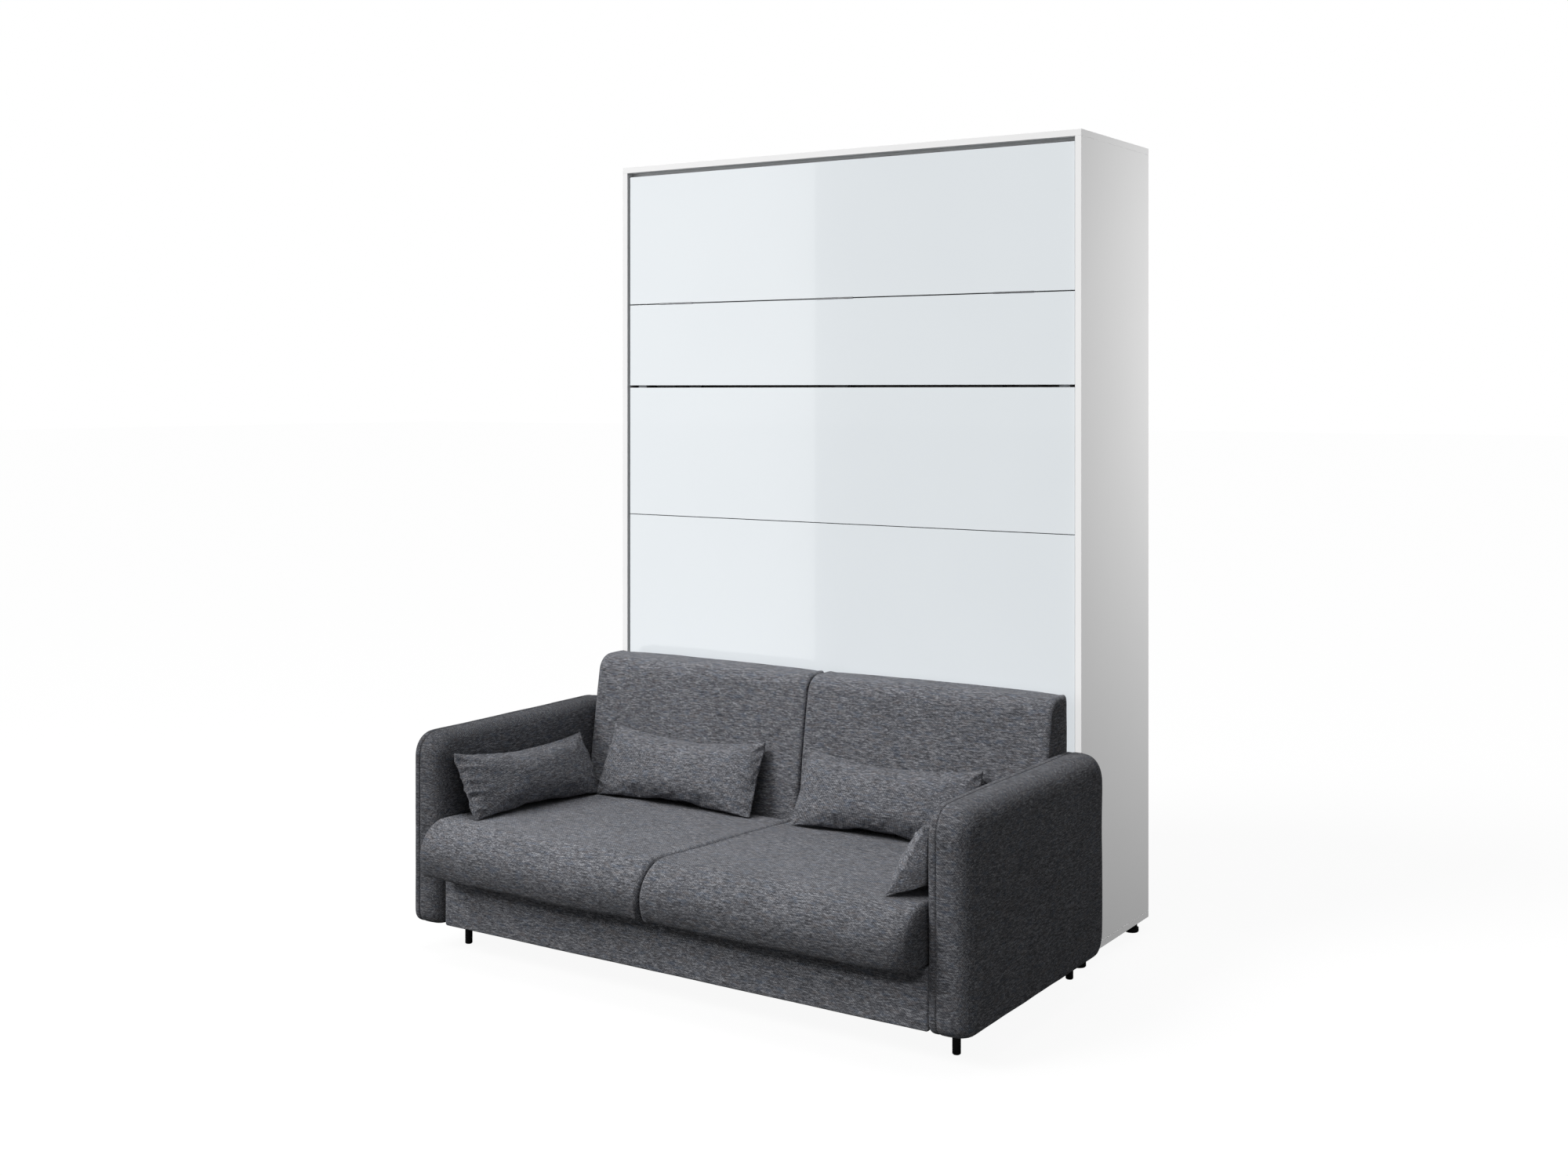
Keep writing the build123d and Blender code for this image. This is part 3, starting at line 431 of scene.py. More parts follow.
def shrunk(points, share):
    """An outline scaled towards its spine: a line as long as it is longer than wide."""
    lows = [min(p[axis] for p in points) for axis in (0, 1)]
    highs = [max(p[axis] for p in points) for axis in (0, 1)]
    half = min(highs[0] - lows[0], highs[1] - lows[1]) / 2
    result = []
    for p in points:
        spine = (
            min(max(p[0], lows[0] + half), highs[0] - half),
            min(max(p[1], lows[1] + half), highs[1] - half),
        )
        result.append((spine[0] + (p[0] - spine[0]) * share, spine[1] + (p[1] - spine[1]) * share))
    return result


def ruffled(code, strength, scale, seed):
    """Soft unevenness of stuffed fabric, pushed along the normals."""
    code.normal_update()
    for vertex in code.verts:
        spot = vertex.co * scale + Vector((seed, seed * 1.7, seed * 0.3))
        vertex.co += vertex.normal * strength * (noise.noise(spot) + 0.4 * noise.noise(spot * 2.3))
    return code


# Sofa arms

arm_low, arm_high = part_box("arm_pad_right")
arm_width = arm_high.x - arm_low.x


def arm_outline(drawn, rear, tightening):
    """Side view of an arm as (y, z), drawn in by a distance: straight front, large round corners.

    The rear moves in by rear times that distance, and the front's upper corner gets tighter by
    tightening times it.
    """
    foot_drop, foot_share = 0.006, 0.37  # how far the foot hangs, and how much it is drawn in
    foot_round, back_round, top_round, least_round = 0.034, 0.074, 0.062, 0.006
    low_y, low_z = arm_low.y + drawn, arm_low.z - foot_drop + foot_share * drawn
    high_y, high_z = arm_high.y - rear * drawn, arm_high.z - drawn
    front_low, back = (max(r - drawn, least_round) for r in (foot_round, back_round))
    front_top = max(top_round - tightening * drawn, least_round)
    corners = (
        arc((low_y + front_low, low_z + front_low), front_low, 180, 270, 10),
        arc((high_y - back, low_z + back), back, -90, 0, 16),
        arc((high_y - back, high_z - back), back, 0, 90, 16),
        arc((low_y + front_top, high_z - front_top), front_top, 90, 180, 16),
    )
    return smoothed(resampled([p for corner in corners for p in corner], 320), 2)


def arm_stations():
    """Rings from the flat face to the full one: (how far drawn in, share of the face, x)."""
    flat_round, full_round, seam_x = 0.013, 0.050, 0.0225
    flat_swell, full_swell = 0.002, 0.003
    stations = []
    for share in (0.03, 0.2, 0.45, 0.7, 0.9):
        stations.append((flat_round, share, -flat_swell * (1 - share**2)))
    for along, drawn in quarter_round(flat_round, 6):
        stations.append((drawn, 1.0, along))
    seam = (  # offset from the seam's line, depth
        (-0.0070, 0.0004),
        (-0.0040, 0.0002),
        (-0.0018, 0.0012),
        (-0.0007, 0.0034),
        (0.0007, 0.0034),
        (0.0018, 0.0010),
        (0.0045, -0.0004),
        (0.0085, -0.0010),
    )
    for offset, depth in seam:
        stations.append((depth, 1.0, seam_x + offset))
    first = seam_x + seam[-1][0]
    for k in range(1, 4):
        stations.append((seam[-1][1], 1.0, first + (arm_width - full_round - first) * k / 4))
    for k in range(15):
        angle = math.radians(90 * k / 14)
        x = arm_width - full_round + full_round * math.sin(angle)
        stations.append((full_round * (1 - math.cos(angle)), 1.0, x))
    for share in (0.96, 0.9, 0.82, 0.72, 0.6, 0.46, 0.32, 0.18, 0.04):
        stations.append((full_round, share, arm_width + full_swell * (1 - share**2)))
    return stations


def make_arm(label, low_x, seed, rear, tightening):
    """One arm. Both have their flat, seamed face on the left and the full one on the right.

    The left arm's full face looks at the seat. Its rear is drawn in less, so that the board
    inside stays covered.
    """
    rings = []
    for drawn, share, x in arm_stations():
        loop = arm_outline(drawn, rear, tightening)
        if share < 1.0:
            loop = shrunk(loop, share)
        rings.append([Vector((low_x + x, y, z)) for y, z in loop])
    code = ruffled(ringed(rings), strength=0.0015, scale=5.5, seed=seed)
    return new_piece("arm_" + label, code, "cabinet", "upholstery", "arm_pad_" + label, fill=0.85)


arm_right = make_arm("right", arm_low.x, seed=3.0, rear=1.5, tightening=1.0)
arm_left = make_arm("left", -arm_high.x, seed=9.0, rear=0.4, tightening=1.3)


# Seat and back cushions

# A seat cushion from the side: one arc forms its nose, and one the front below it.
seat_nose_depth, seat_nose_height = 0.090, 0.091
seat_under_depth, seat_under_height = 0.016, 0.053
seat_rear_height, seat_rear_round = 0.116, 0.020
seat_rise = 0.028  # of its top, from the rear to the nose


def arc_radius(depth, height):
    """Radius of an arc that leans back by a depth over a height."""
    return (depth**2 + height**2) / (2 * depth)


def seat_outline():
    """Side view of a seat cushion as (y, z), from the CAD's box."""
    low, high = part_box("seat_cushion_right")
    base, front_y, back_y = low.z, low.y, high.y
    nose = base + seat_under_height
    nose_radius = arc_radius(seat_nose_depth, seat_nose_height)
    under = arc_radius(seat_under_depth, seat_under_height)
    straight_from = 0.05  # along the base, and up the rear
    points = []
    for k in range(8, -1, -1):
        below = seat_under_height * (1 - k / 8)
        y = front_y + under - math.sqrt(max(under**2 - below**2, 0.0))
        points.append((y, base + seat_under_height * k / 8))
    base_length = back_y - front_y - straight_from
    points += [(front_y + straight_from + base_length * k / 20, base) for k in range(1, 20)]
    points += [(back_y, base), (back_y, base + straight_from)]
    rear_centre = (back_y - seat_rear_round, base + (seat_rear_height - seat_rear_round))
    points += arc(rear_centre, seat_rear_round, 0, 90, 6)
    to_nose = front_y + seat_nose_depth - back_y + seat_rear_round
    points += [
        (
            back_y - seat_rear_round + to_nose * k / 24,
            base + seat_rear_height + seat_rise * k / 24,
        )
        for k in range(1, 24)
    ]
    for degrees in range(88, 2, -6):
        angle = math.radians(degrees)
        y = front_y + nose_radius - nose_radius * math.cos(angle)
        points.append((y, nose + nose_radius * math.sin(angle)))
    return points


def back_outline():
    """Side view of a back cushion as (y, z), from the CAD's box."""
    low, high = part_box("back_cushion_right")
    foot, base, back_y, top = low.y, low.z, high.y, high.z
    head_depth, head_round, rear_round, foot_round = 0.134, 0.046, 0.018, 0.016
    front_bulge = 0.006
    head, head_z = back_y - head_depth, top - head_round
    front_face = []
    for k in range(1, 40):
        share = k / 40
        bulge = front_bulge * 4 * share * (1 - share)
        y = head + (foot - head) * share - bulge
        front_face.append((y, head_z + (base + foot_round - head_z) * share))
    points = [(foot + foot_round + (back_y - foot - foot_round) * k / 10, base) for k in range(10)]
    points += [(back_y, base + (top - rear_round - base) * k / 20) for k in range(20)]
    points += arc((back_y - rear_round, top - rear_round), rear_round, 0, 90, 6)
    points += arc((head + head_round, top - head_round), head_round, 90, 180, 12)
    points += front_face
    points += arc((foot + foot_round, base + foot_round), foot_round, 180, 270, 5)[:-1]
    return points


def cushion_rings(outline, width, rounding, swell, drop):
    """Rings of points across a cushion: rounded, drawn-in ends and a full middle."""
    ys, zs = [p[0] for p in outline], [p[1] for p in outline]
    middle = ((min(ys) + max(ys)) / 2, (min(zs) + max(zs)) / 2)
    half = ((max(ys) - min(ys)) / 2, (max(zs) - min(zs)) / 2)
    drop_reach, spans = 0.085, 44

    def scaled(x, points, scale_y, scale_z):
        mid_y, mid_z = middle
        return [
            Vector((x, mid_y + (y - mid_y) * scale_y, mid_z + (z - mid_z) * scale_z))
            for y, z in points
        ]

    def ring(x, draw):
        return scaled(x, outline, 1 - draw / half[0], 1 - draw / half[1])

    rings = []
    for share in (0.06, 0.22, 0.42, 0.62, 0.8, 0.92):
        face = [(p.y, p.z) for p in ring(0.0, rounding)]
        rings.append(scaled(-swell * (1 - share**2), face, share, share))
    for along, draw in quarter_round(rounding, 8):
        rings.append(ring(along, draw))
    left_end = list(rings)
    for k in range(1, spans):
        x = rounding + (width - 2 * rounding) * k / spans
        reach = min(x, width - x)
        rings.append(ring(x, drop * math.exp(-((reach / drop_reach) ** 1.3))))
    for end_ring in reversed(left_end):
        rings.append([Vector((width - p.x, p.y, p.z)) for p in end_ring])
    return rings


def make_cushion(kind, side):
    """A seat or back cushion, crowned, with round edges and eased creases.

    A back cushion's rear edges are rounded at both ends, and a seat's outer front corner, which
    is rounder on the right.
    """
    label = "right" if side > 0 else "left"
    node = kind + "_cushion_" + label
    is_seat = kind == "seat"
    back_edge, seat_corner = 0.050, 0.055 if side > 0 else 0.028
    front_slack, top_slack = 0.002, 0.003  # how far it may pass the CAD's box
    low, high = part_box(node)
    outline = smoothed(resampled(seat_outline() if is_seat else back_outline(), 300), 3)
    code = ringed(cushion_rings(outline, high.x - low.x, rounding=0.014, swell=0.001, drop=0.004))
    for vertex in code.verts:
        vertex.co.x += low.x
        from_middle = (vertex.co.y - low.y) / (high.y - low.y) * 2 - 1
        from_left, from_right = vertex.co.x - low.x, high.x - vertex.co.x
        if is_seat:
            edge_round, reach = seat_corner, from_right if side > 0 else from_left
            from_middle = -from_middle
        else:
            edge_round, reach = back_edge, min(from_left, from_right)
        near = min(max(1 - reach / edge_round, 0.0), 1.0)
        inwards = edge_round * (1 - math.sqrt(1 - near**2)) * min(max(from_middle, 0.0), 1.0)
        vertex.co.y += inwards if is_seat else -inwards
    ruffled(code, strength=0.0020, scale=4.2, seed=5.0 + 3 * side + (0 if is_seat else 11))
    ruffled(code, strength=0.0008, scale=13.0, seed=2.0 + side)
    for vertex in code.verts:
        vertex.co.x = min(max(vertex.co.x, low.x), high.x)
        vertex.co.y = min(max(vertex.co.y, low.y - front_slack), high.y)
        vertex.co.z = min(max(vertex.co.z, low.z), high.z + top_slack)
    fill = 0.8 if is_seat else 0.7
    new_piece(kind + "_pad_" + label, code, node, "upholstery", node, fill=fill)


for side in (-1, 1):
    make_cushion("seat", side)
    make_cushion("back", side)


# Pillows

pillow_size = (0.542, 0.110, 0.218)  # ear to ear, through the middle, ear to ear
pillow_flat = (0.555, 0.222)  # the sewn pouch before it is filled
pillow_columns, pillow_rows = 96, 40
cloth_settings = {
    "quality": 8,
    "mass": 0.15,
    "tension_stiffness": 30,
    "compression_stiffness": 30,
    "shear_stiffness": 7.5,
    "bending_stiffness": 0.10,
    "air_damping": 4,
    "use_pressure": True,
    "uniform_pressure_force": 4.0,
    "use_pressure_volume": True,
    "target_volume": 0.0044,
    "vertex_group_shrink": "gathers",
    "shrink_min": 0.0,
    "shrink_max": 0.006,
}
settled_frame, cache_end = 40, 60


def flat_point(u, v, face):
    """A point of the empty pouch, its faces a little apart and slightly uneven."""
    opening, unevenness = 0.004, 0.0012
    lift = opening * (1 - u**4) * (1 - v**4)
    if abs(u) < 1 and abs(v) < 1:
        lift += unevenness * noise.noise(Vector((u * 9, v * 5, face)))
    return (u * pillow_flat[0] / 2, face * lift, v * pillow_flat[1] / 2)


def pouch(point_at):
    """Two faces sewn along all four edges, X long and Z high."""
    columns, rows = pillow_columns, pillow_rows
    code = bmesh.new()
    grid = {}
    for face in (-1, 1):
        for i in range(columns + 1):
            for j in range(rows + 1):
                if face == 1 and (i in (0, columns) or j in (0, rows)):
                    grid[face, i, j] = grid[-1, i, j]
                else:
                    u, v = 2 * i / columns - 1, 2 * j / rows - 1
                    grid[face, i, j] = code.verts.new(point_at(u, v, face))
    for face in (-1, 1):
        for i in range(columns):
            for j in range(rows):
                corners = ((i, j), (i + 1, j), (i + 1, j + 1), (i, j + 1))
                quad = [grid[(face, *corner)] for corner in corners]
                code.faces.new(quad if face == -1 else quad[::-1])
    return code


def filled_pillow():
    """The pouch blown up by a cloth simulation, its short ends gathered a little, as a mesh."""
    mesh = bpy.data.meshes.new("pillow_form")
    code = pouch(flat_point)
    code.to_mesh(mesh)
    code.free()
    form = bpy.data.objects.new("pillow_form", mesh)
    scene = bpy.context.scene
    scene.collection.objects.link(form)
    gathers = form.vertex_groups.new(name="gathers")
    gather_reach = 0.03  # of half the pouch's length
    for vertex in mesh.vertices:
        edge = 1 - abs(vertex.co.x) / (pillow_flat[0] / 2)
        gathers.add([vertex.index], max(0.0, 1 - edge / gather_reach), "REPLACE")
    cloth = form.modifiers.new("cloth", "CLOTH")
    for key, value in cloth_settings.items():
        setattr(cloth.settings, key, value)
    cloth.settings.effector_weights.gravity = 0.0
    cloth.point_cache.frame_start = 1
    cloth.point_cache.frame_end = cache_end
    for frame_number in range(1, settled_frame + 1):
        scene.frame_set(frame_number)
    graph = bpy.context.evaluated_depsgraph_get()
    filled = bpy.data.meshes.new_from_object(form.evaluated_get(graph))
    scene.frame_set(1)
    bpy.data.objects.remove(form)
    mirror_ends(filled)
    return filled


def mirror_ends(filled):
    """Gives the right end the form of the left one, fading in from the middle."""
    columns, rows = pillow_columns, pillow_rows
    back_count = (columns + 1) * (rows + 1)
    settled = [vertex.co.copy() for vertex in filled.vertices]
    for number, spot in enumerate(settled):
        if number < back_count:
            i, j = divmod(number, rows + 1)
            twin = settled[(columns - i) * (rows + 1) + j]
        else:
            i, j = divmod(number - back_count, rows - 1)
            twin = settled[back_count + (columns - 2 - i) * (rows - 1) + j]
            i += 1
        share = min(max(i / columns - 0.5, 0.0) * 4, 1.0)
        share = share * share * (3 - 2 * share)
        filled.vertices[number].co = spot.lerp(Vector((-twin.x, twin.y, twin.z)), share)


pillow_form = filled_pillow()


def gather(place, count, seed):
    """Soft bulges between sharp creases, uneven in spacing."""
    wander = 2.4 * noise.noise(Vector((place * 1.9, seed, 0.0)))
    return 0.62 - abs(math.sin(math.pi * count * place / 2 + wander + seed)) ** 0.8


def pucker(code, seed):
    """Creases that run in from the seams of the short ends, and small ones at the long seams."""
    long, high = pillow_size[0] / 2, pillow_size[2] / 2
    end_depth, side_depth, swell_depth, ear_depth = 0.0115, 0.0022, 0.0030, 0.0014
    end_seam, side_reach, thin = 0.007, 0.014, 0.006
    for vertex in code.verts:
        x, y, z = vertex.co
        face = 1 if y > 0 else -1
        end = 1 if x > 0 else -1
        u, v = x / long, z / high
        from_end, from_side = max(long - abs(x), 0.0), max(high - abs(z), 0.0)
        reach = 0.020 + 0.026 * abs(noise.noise(Vector((v * 2.6, seed + 2 * end, face))))
        slant = v + end * face * from_end * 3.0
        creased = gather(slant, 4.3, seed + 3.1 * end + face)
        creased += 0.45 * gather(slant, 9.1, seed + 7.7 * end - face)
        push = end_depth * (1.1 - 0.45 * v) * creased * math.exp(-from_end / reach)
        push *= (1 - math.exp(-from_end / end_seam)) * min(1.0, 3 * from_side / high)
        push += side_depth * gather(u, 13.0, seed + 5.0 * face) * math.exp(-from_side / side_reach)
        push += swell_depth * noise.noise(Vector((x * 11, z * 15, seed + 4.0 * face)))
        vertex.co.y += face * push * (1 - math.exp(-abs(y) / thin))
        vertex.co.x += end * ear_depth * gather(v, 8.7, seed + 9.0 * end) * abs(u) ** 16


def rotation_to(along, rise):
    """Turns local X to along and local Z to rise, with local Y behind."""
    x = Vector(along).normalized()
    z = (Vector(rise) - x * x.dot(Vector(rise))).normalized()
    y = z.cross(x)
    return Matrix((x, y, z)).transposed().to_4x4()


seat_low, seat_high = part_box("seat_cushion_right")
seat_slope = seat_rise / (seat_high.y - seat_rear_round - seat_low.y - seat_nose_depth)


def seat_top(y):
    """Height of the seats' top face."""
    return seat_high.z - (y - seat_low.y - seat_nose_depth) * seat_slope


def make_pillow(name, lean, turn, pitch, seed, flip, shift, height, lift):
    """A pillow in the place of its CAD solid, flattened where it rests.

    Its lean, turn and pitch are in degrees. A flip of -1 swaps its ends; shift moves it along
    its length, height scales it and lift raises it.
    """
    low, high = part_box(name)
    middle = (low + high) / 2
    turn, lean, pitch = (math.radians(angle) for angle in (turn, lean, pitch))
    level = math.cos(pitch)
    along = Vector((math.cos(turn) * level, math.sin(turn) * level, math.sin(pitch)))
    outward = Vector((math.sin(turn), -math.cos(turn), 0.0))
    rise = outward * -math.sin(lean) + Vector((0.0, 0.0, math.cos(lean)))
    turned = Matrix.Translation(middle) @ rotation_to(along, rise)
    code = bmesh.new()
    code.from_mesh(pillow_form)
    bmesh.ops.subdivide_edges(code, edges=code.edges, cuts=1, use_grid_fill=True, smooth=0.8)
    for vertex in code.verts:
        vertex.co.x *= flip
    if flip < 0:
        bmesh.ops.reverse_faces(code, faces=code.faces)
    pucker(code, seed)
    inverse = turned.inverted()
    clearance, easing = 0.001, 0.012  # over the seat
    for vertex in code.verts:
        vertex.co = (vertex.co.x + shift, vertex.co.y, vertex.co.z * height + lift)
        spot = turned @ vertex.co
        floor = seat_top(spot.y) + clearance
        if spot.z < floor + easing:
            spot.z = floor + easing * math.exp((spot.z - floor - easing) / easing)
        vertex.co = inverse @ spot
    piece = new_piece(name + "_cover", code, name, "upholstery", name, fill=0.7)
    piece.parent = None
    piece.matrix_world = turned
    bpy.context.view_layer.update()
    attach(piece, name)
    return piece


slope = math.degrees(math.atan(seat_slope))
back_pose = {"lean": 26.0, "turn": 0.0, "pitch": 0.0, "height": 1.04, "lift": 0.012}
arm_pose = {"lean": 30.0, "shift": 0.0, "height": 0.93, "lift": 0.002}
make_pillow("pillow_left_back", seed=1.3, flip=1, shift=-0.010, **back_pose)
make_pillow("pillow_right_back", seed=12.9, flip=-1, shift=-0.006, **back_pose)
arm_pillow_left = make_pillow(
    "pillow_left_arm", turn=90.0, pitch=-slope, seed=24.6, flip=-1, **arm_pose
)
arm_pillow_right = make_pillow(
    "pillow_right_arm", turn=-90.0, pitch=slope, seed=37.2, flip=1, **arm_pose
)


# Upholstered board below the seat


def round_bar(low, high, rounding, corner_steps=5, length_steps=120):
    """A box along X with all its edges round."""
    least_round = 0.0005

    def loop(x, draw):
        y0, y1, z0, z1 = low.y + draw, high.y - draw, low.z + draw, high.z - draw
        inner = max(rounding - draw, least_round)
        points = arc((y0 + inner, z0 + inner), inner, 180, 270, corner_steps)
        points += arc((y1 - inner, z0 + inner), inner, 270, 360, corner_steps)
        points += arc((y1 - inner, z1 - inner), inner, 0, 90, corner_steps)
        points += arc((y0 + inner, z1 - inner), inner, 90, 180, corner_steps)
        return [Vector((x, y, z)) for y, z in points]

    ends = quarter_round(rounding, corner_steps)
    straight = high.x - low.x - 2 * rounding
    rings = [loop(low.x + along, draw) for along, draw in ends]
    for k in range(1, length_steps):
        rings.append(loop(low.x + rounding + straight * k / length_steps, 0.0))
    rings += [loop(high.x - along, draw) for along, draw in reversed(ends)]
    return ringed(rings)


def make_fascia():
    """The upholstered board, a little short of its solid at both ends."""
    low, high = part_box("front_fascia")
    end_gap = Vector((0.003, 0, 0))
    code = round_bar(low + end_gap, high - end_gap, rounding=0.007)
    ruffled(code, strength=0.0006, scale=6.0, seed=4.0)
    for vertex in code.verts:
        vertex.co.y = min(vertex.co.y, high.y)
        vertex.co.z = min(vertex.co.z, high.z)
    return new_piece("fascia_cover", code, "cabinet", "upholstery", "front_fascia", fill=0.9)


fascia = make_fascia()


# Mattress and its straps


def make_mattress():
    """Mattress with full edges and a cover quilted in diamonds."""
    low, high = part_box("mattress")
    across, along, thick = 72, 104, 10
    radius, edge, side_swell = 0.045, 0.030, 0.003
    face_draw = edge * 0.8
    middle = (low + high) / 2
    half = (high - low) / 2
    corners = (
        ((half.x - radius, half.z - radius), 0),
        ((-half.x + radius, half.z - radius), 90),
        ((-half.x + radius, -half.z + radius), 180),
        ((half.x - radius, -half.z + radius), 270),
    )
    rounded = [p for centre, start in corners for p in arc(centre, radius, start, start + 90, 12)]
    base = resampled(rounded, 2 * (across + along))
    face = inset(base, face_draw)
    rings = []
    for share in (0.04, 0.12, 0.2, 0.28, 0.36, 0.44, 0.52, 0.6, 0.68, 0.76, 0.84, 0.9, 0.95):
        rings.append([(x, z, -half.y) for x, z in shrunk(face, share)])
    for k in range(7):
        angle = math.radians(90 * k / 6)
        y = -half.y + edge * (1 - math.cos(angle))
        rings.append([(x, z, y) for x, z in inset(base, face_draw * (1 - math.sin(angle)))])
    front_half = list(rings)
    for k in range(1, thick):
        share = k / thick
        swell = side_swell * math.sin(math.pi * share)
        y = -half.y + edge + (2 * half.y - 2 * edge) * share
        rings.append([(x, z, y) for x, z in inset(base, side_swell - swell)])
    rings += [[(x, z, -y) for x, z, y in ring] for ring in reversed(front_half)]
    code = ringed(
        [[Vector((middle.x + x, middle.y + y, middle.z + z)) for x, z, y in ring] for ring in rings]
    )
    flat, long_edge = 0.001, 0.03
    coarse = [
        e
        for e in code.edges
        if abs(e.verts[0].co.y - e.verts[1].co.y) < flat and e.calc_length() > long_edge
    ]
    bmesh.ops.subdivide_edges(code, edges=coarse, cuts=1, use_grid_fill=True)
    pitch, quilted_depth, dip_depth = 0.20, 0.012, 0.006
    for vertex in code.verts:
        x, z = vertex.co.x - middle.x, vertex.co.z - middle.z
        if abs(vertex.co.y - middle.y) > half.y - quilted_depth:
            a = abs(math.sin(math.pi * (x + z) / pitch)) * abs(math.sin(math.pi * (x - z) / pitch))
            dip = dip_depth * (1 - a**0.35)
            vertex.co.y += dip if vertex.co.y < middle.y else -dip
    new_piece("mattress_pad", code, "bed", "mattress_cover", "mattress", fill=0.9)


def make_straps():
    """Two flat straps over the mattress, each held at the frame's sides."""
    low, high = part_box("mattress_straps")
    pad_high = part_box("mattress")[1]
    code = bmesh.new()
    half_width, strap_thickness, gap, bend = 0.025, 0.0013, 0.0006, 0.02
    outer, back_y, front_y = pad_high.x + gap, pad_high.y + gap, low.y
    side_line = [(outer, front_y + (back_y - bend - front_y) * k / 8) for k in range(9)]
    side_line += arc((outer - bend, back_y - bend), bend, 0, 90, 6)[1:]
    width = 2 * outer - 2 * bend
    line = side_line + [(outer - bend - width * k / 40, back_y) for k in range(1, 41)]
    line += [(-x, y) for x, y in reversed(side_line[:-1])]
    profile = (
        (0.0, -half_width),
        (0.0, half_width),
        (strap_thickness, half_width),
        (strap_thickness, -half_width),
    )
    for level in (low.z + half_width, high.z - half_width):
        rows = []
        for index, (x, y) in enumerate(line):
            before, after = line[max(index - 1, 0)], line[min(index + 1, len(line) - 1)]
            along = Vector((after[0] - before[0], after[1] - before[1])).normalized()
            out = Vector((along.y, -along.x))
            rows.append(
                [code.verts.new((x + out.x * t, y + out.y * t, level + h)) for t, h in profile]
            )
        for a, b in zip(rows, rows[1:]):
            for k in range(4):
                code.faces.new((a[k], a[(k + 1) % 4], b[(k + 1) % 4], b[k]))
        code.faces.new(rows[0])
        code.faces.new(rows[-1][::-1])
    bmesh.ops.recalc_face_normals(code, faces=code.faces)
    new_piece("strap_bands", code, "bed", "webbing", "mattress_straps")


make_mattress()
make_straps()


# Floor, lights and camera


def make_floor():
    """Floor that bounces little light, white to the camera but for the object's shadow."""
    half_size, bounce, glow_to_camera = 60.0, 0.10, 0.93
    mesh = bpy.data.meshes.new("floor")
    code = bmesh.new()
    bmesh.ops.create_grid(code, x_segments=2, y_segments=2, size=half_size)
    code.to_mesh(mesh)
    code.free()
    floor = bpy.data.objects.new("floor", mesh)
    bpy.context.scene.collection.objects.link(floor)
    material = bpy.data.materials.new("floor")
    material.use_nodes = True
    tree = material.node_tree
    tree.nodes.clear()
    output = tree.nodes.new("ShaderNodeOutputMaterial")
    diffuse = tree.nodes.new("ShaderNodeBsdfDiffuse")
    diffuse.inputs["Color"].default_value = (bounce, bounce, bounce, 1)
    glow = tree.nodes.new("ShaderNodeEmission")
    path = tree.nodes.new("ShaderNodeLightPath")
    seen = tree.nodes.new("ShaderNodeMath")
    seen.operation = "MULTIPLY"
    seen.inputs[1].default_value = glow_to_camera
    tree.links.new(path.outputs["Is Camera Ray"], seen.inputs[0])
    tree.links.new(seen.outputs[0], glow.inputs["Strength"])
    total = tree.nodes.new("ShaderNodeAddShader")
    tree.links.new(diffuse.outputs[0], total.inputs[0])
    tree.links.new(glow.outputs[0], total.inputs[1])
    tree.links.new(total.outputs[0], output.inputs["Surface"])
    mesh.materials.append(material)


def make_world():
    """White to the camera, dim as a light."""
    as_light, to_camera = 0.22, 1.0
    world = bpy.data.worlds.new("studio")
    bpy.context.scene.world = world
    world.use_nodes = True
    tree = world.node_tree
    background = tree.nodes["Background"]
    background.inputs["Color"].default_value = (1, 1, 1, 1)
    path = tree.nodes.new("ShaderNodeLightPath")
    seen = tree.nodes.new("ShaderNodeMath")
    seen.operation = "MAXIMUM"
    tree.links.new(path.outputs["Is Camera Ray"], seen.inputs[0])
    tree.links.new(path.outputs["Is Transmission Ray"], seen.inputs[1])
    strength = tree.nodes.new("ShaderNodeMapRange")
    strength.inputs["To Min"].default_value = as_light
    strength.inputs["To Max"].default_value = to_camera
    tree.links.new(seen.outputs[0], strength.inputs["Value"])
    tree.links.new(strength.outputs[0], background.inputs["Strength"])


def new_light(name, kind, energy, towards, glossy=False):
    """A lamp that points along a direction; glossy lets it show in reflections."""
    lamp = bpy.data.lights.new(name, kind)
    lamp.energy = energy
    light = bpy.data.objects.new(name, lamp)
    bpy.context.scene.collection.objects.link(light)
    light.rotation_euler = Vector(towards).to_track_quat("-Z", "Y").to_euler()
    light.visible_glossy = glossy
    return light


def sun_light(name, towards, strength, angle):
    """Even light from far away, soft by its angle in degrees."""
    light = new_light(name, "SUN", strength, towards)
    light.data.angle = math.radians(angle)
    return light


def area_light(name, spot, target, size, power, glossy=False):
    """A rectangular lamp in a spot, aimed at a target, with its power in watts."""
    light = new_light(name, "AREA", power, Vector(target) - Vector(spot), glossy)
    light.data.shape = "RECTANGLE"
    light.data.size, light.data.size_y = size
    light.location = spot
    light.visible_camera = False
    return light


def make_camera():
    """The camera that was fitted to the photograph: level, with its frame shifted down."""
    spot, heading = (2.6577, -4.1099, 1.5177), 33.1155
    lens, sensor_width, shift_down = 41.10, 36.0, 0.1261
    camera = bpy.data.objects.new("camera", bpy.data.cameras.new("camera"))
    bpy.context.scene.collection.objects.link(camera)
    camera.location = spot
    camera.rotation_euler = (math.radians(90), 0, math.radians(heading))
    camera.data.lens = lens
    camera.data.sensor_width = sensor_width
    camera.data.sensor_fit = "HORIZONTAL"
    camera.data.shift_y = -shift_down
    bpy.context.scene.camera = camera


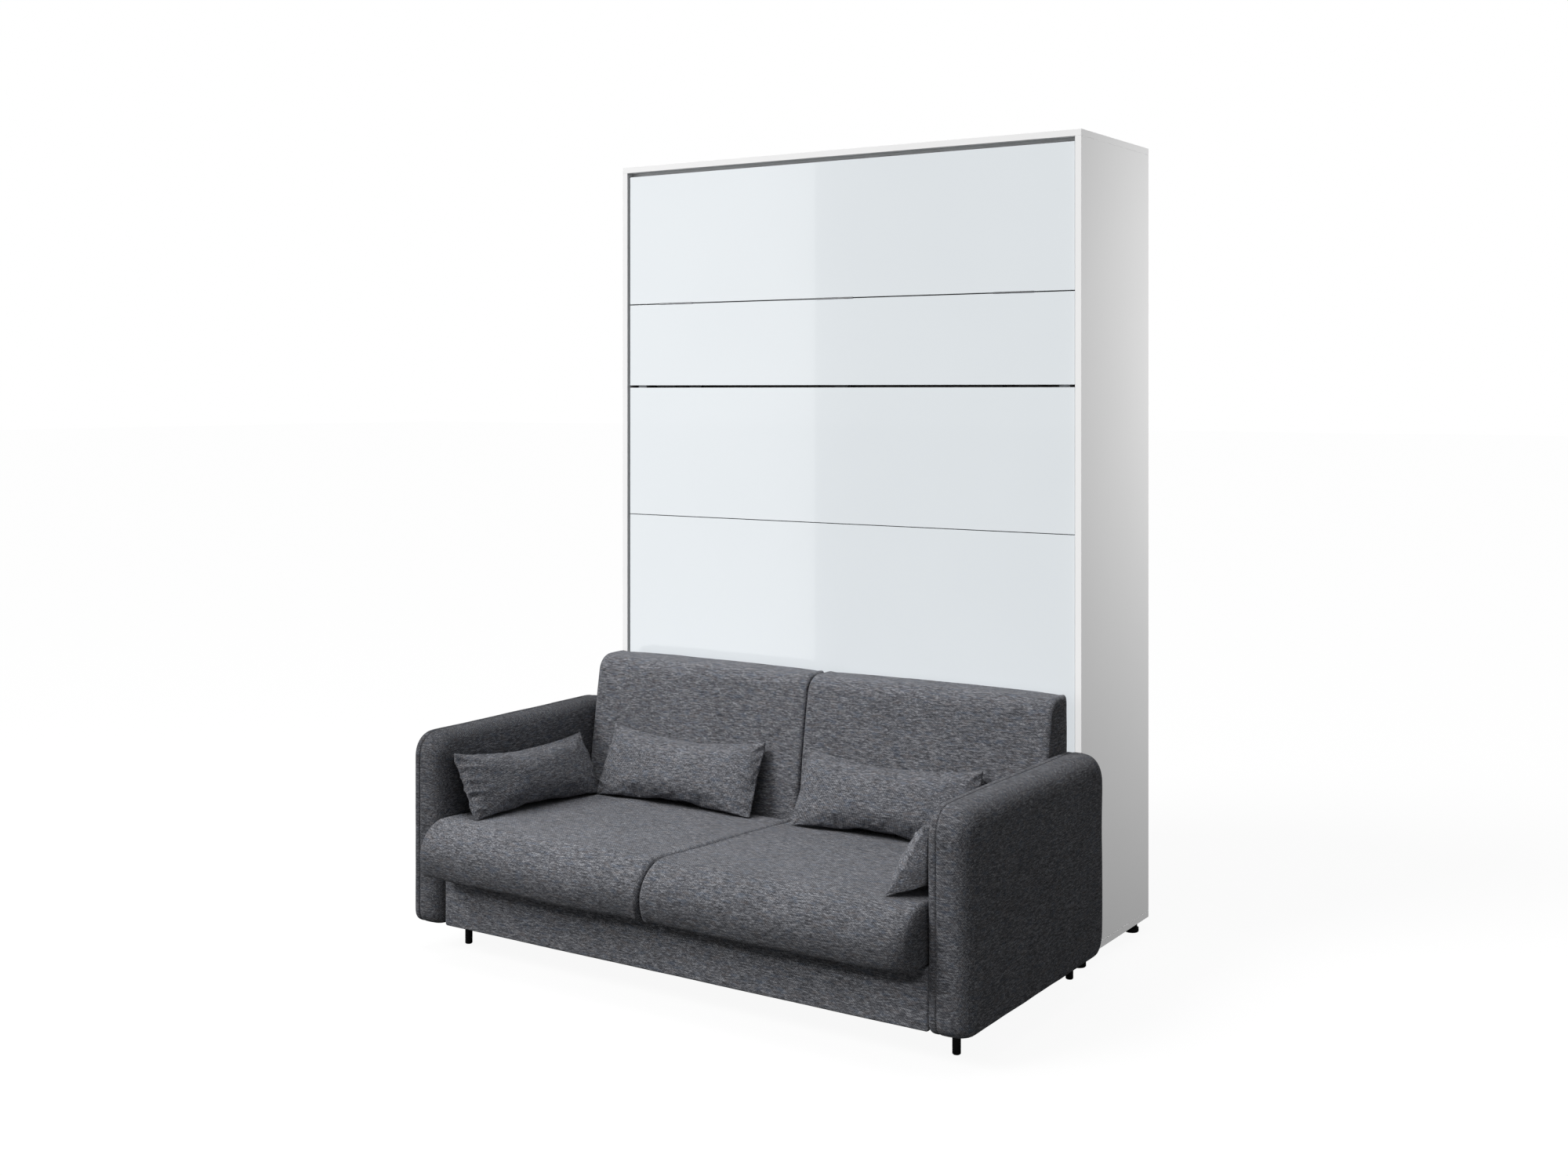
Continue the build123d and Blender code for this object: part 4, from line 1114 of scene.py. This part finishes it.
make_floor()
make_world()
make_camera()
cabinet_key = sun_light("cabinet_key", (0.25, 0.77, -0.58), 3.5, 24)
sofa_key = sun_light("sofa_key", (0.42, 0.60, -0.68), 1.7, 24)
cushion_top, fascia_fill, arm_fill, pillow_fill, top_fill, side_lamp = (
    area_light(*values)  # name, spot, target, width and height, watts
    for values in (
        ("cushion_top", (-0.4, -0.82, 1.9), (-0.25, -0.45, 0.4), (1.6, 0.6), 12.5),
        ("fascia_fill", (0.9, -3.2, 1.8), (0.0, -0.6, 0.25), (1.6, 0.3), 39.0),
        ("arm_fill", (0.9, -4.0, 0.7), (0.8, -0.6, 0.25), (1.6, 1.0), 10.0),
        ("pillow_fill", (6.4, -9.1, 1.8), (0.68, -0.4, 0.45), (1.5, 1.5), 660.0),
        ("top_fill", (0.0, -0.8, 4.8), (0.0, -0.3, 0.0), (3.0, 2.0), 50.0),
        ("side", (2.54, 1.58, 1.82), (0.75, 0.45, 1.2), (1.2, 1.2), 42.0),
    )
)
area_light("card", (-3.45, -2.77, 1.5), (-3.45, 0.2, 1.5), (3.0, 5.0), 42.0, glossy=True)


def lit_group(name, members, excluded=False):
    """A collection of the objects that a lamp shines on, or of those that it passes by."""
    group = bpy.data.collections.new(name)
    for member in members:
        group.objects.link(member)
    if excluded:
        for member in group.collection_objects:
            member.light_linking.link_state = "EXCLUDE"
    return group


cabinet_front = [
    nodes[entry["node"]]
    for entry in frame["record"]["subparts"]
    if entry["material_slot"] in ("carcass_white", "front_gloss") and entry["node"] != "back_panel"
]
shell = cabinet_front + [nodes["back_panel"]]
for lamp, lit in ((cabinet_key, cabinet_front), (side_lamp, shell)):
    lamp.light_linking.receiver_collection = lit_group(lamp.name + "_lit", lit)
    lamp.light_linking.blocker_collection = lit_group(lamp.name + "_shading", shell)
for lamp, passed_by in (
    (sofa_key, cabinet_front),
    (top_fill, cabinet_front + [arm_left, arm_pillow_left]),
    (cushion_top, cabinet_front + [arm_left, arm_right, fascia]),
):
    unlit = lit_group(lamp.name + "_unlit", passed_by, excluded=True)
    lamp.light_linking.receiver_collection = unlit
for lamp, member in (
    (fascia_fill, fascia),
    (arm_fill, arm_right),
    (pillow_fill, arm_pillow_right),
):
    lamp.light_linking.receiver_collection = lit_group(lamp.name + "_lit", [member])

bpy.context.scene.view_settings.view_transform = "Standard"
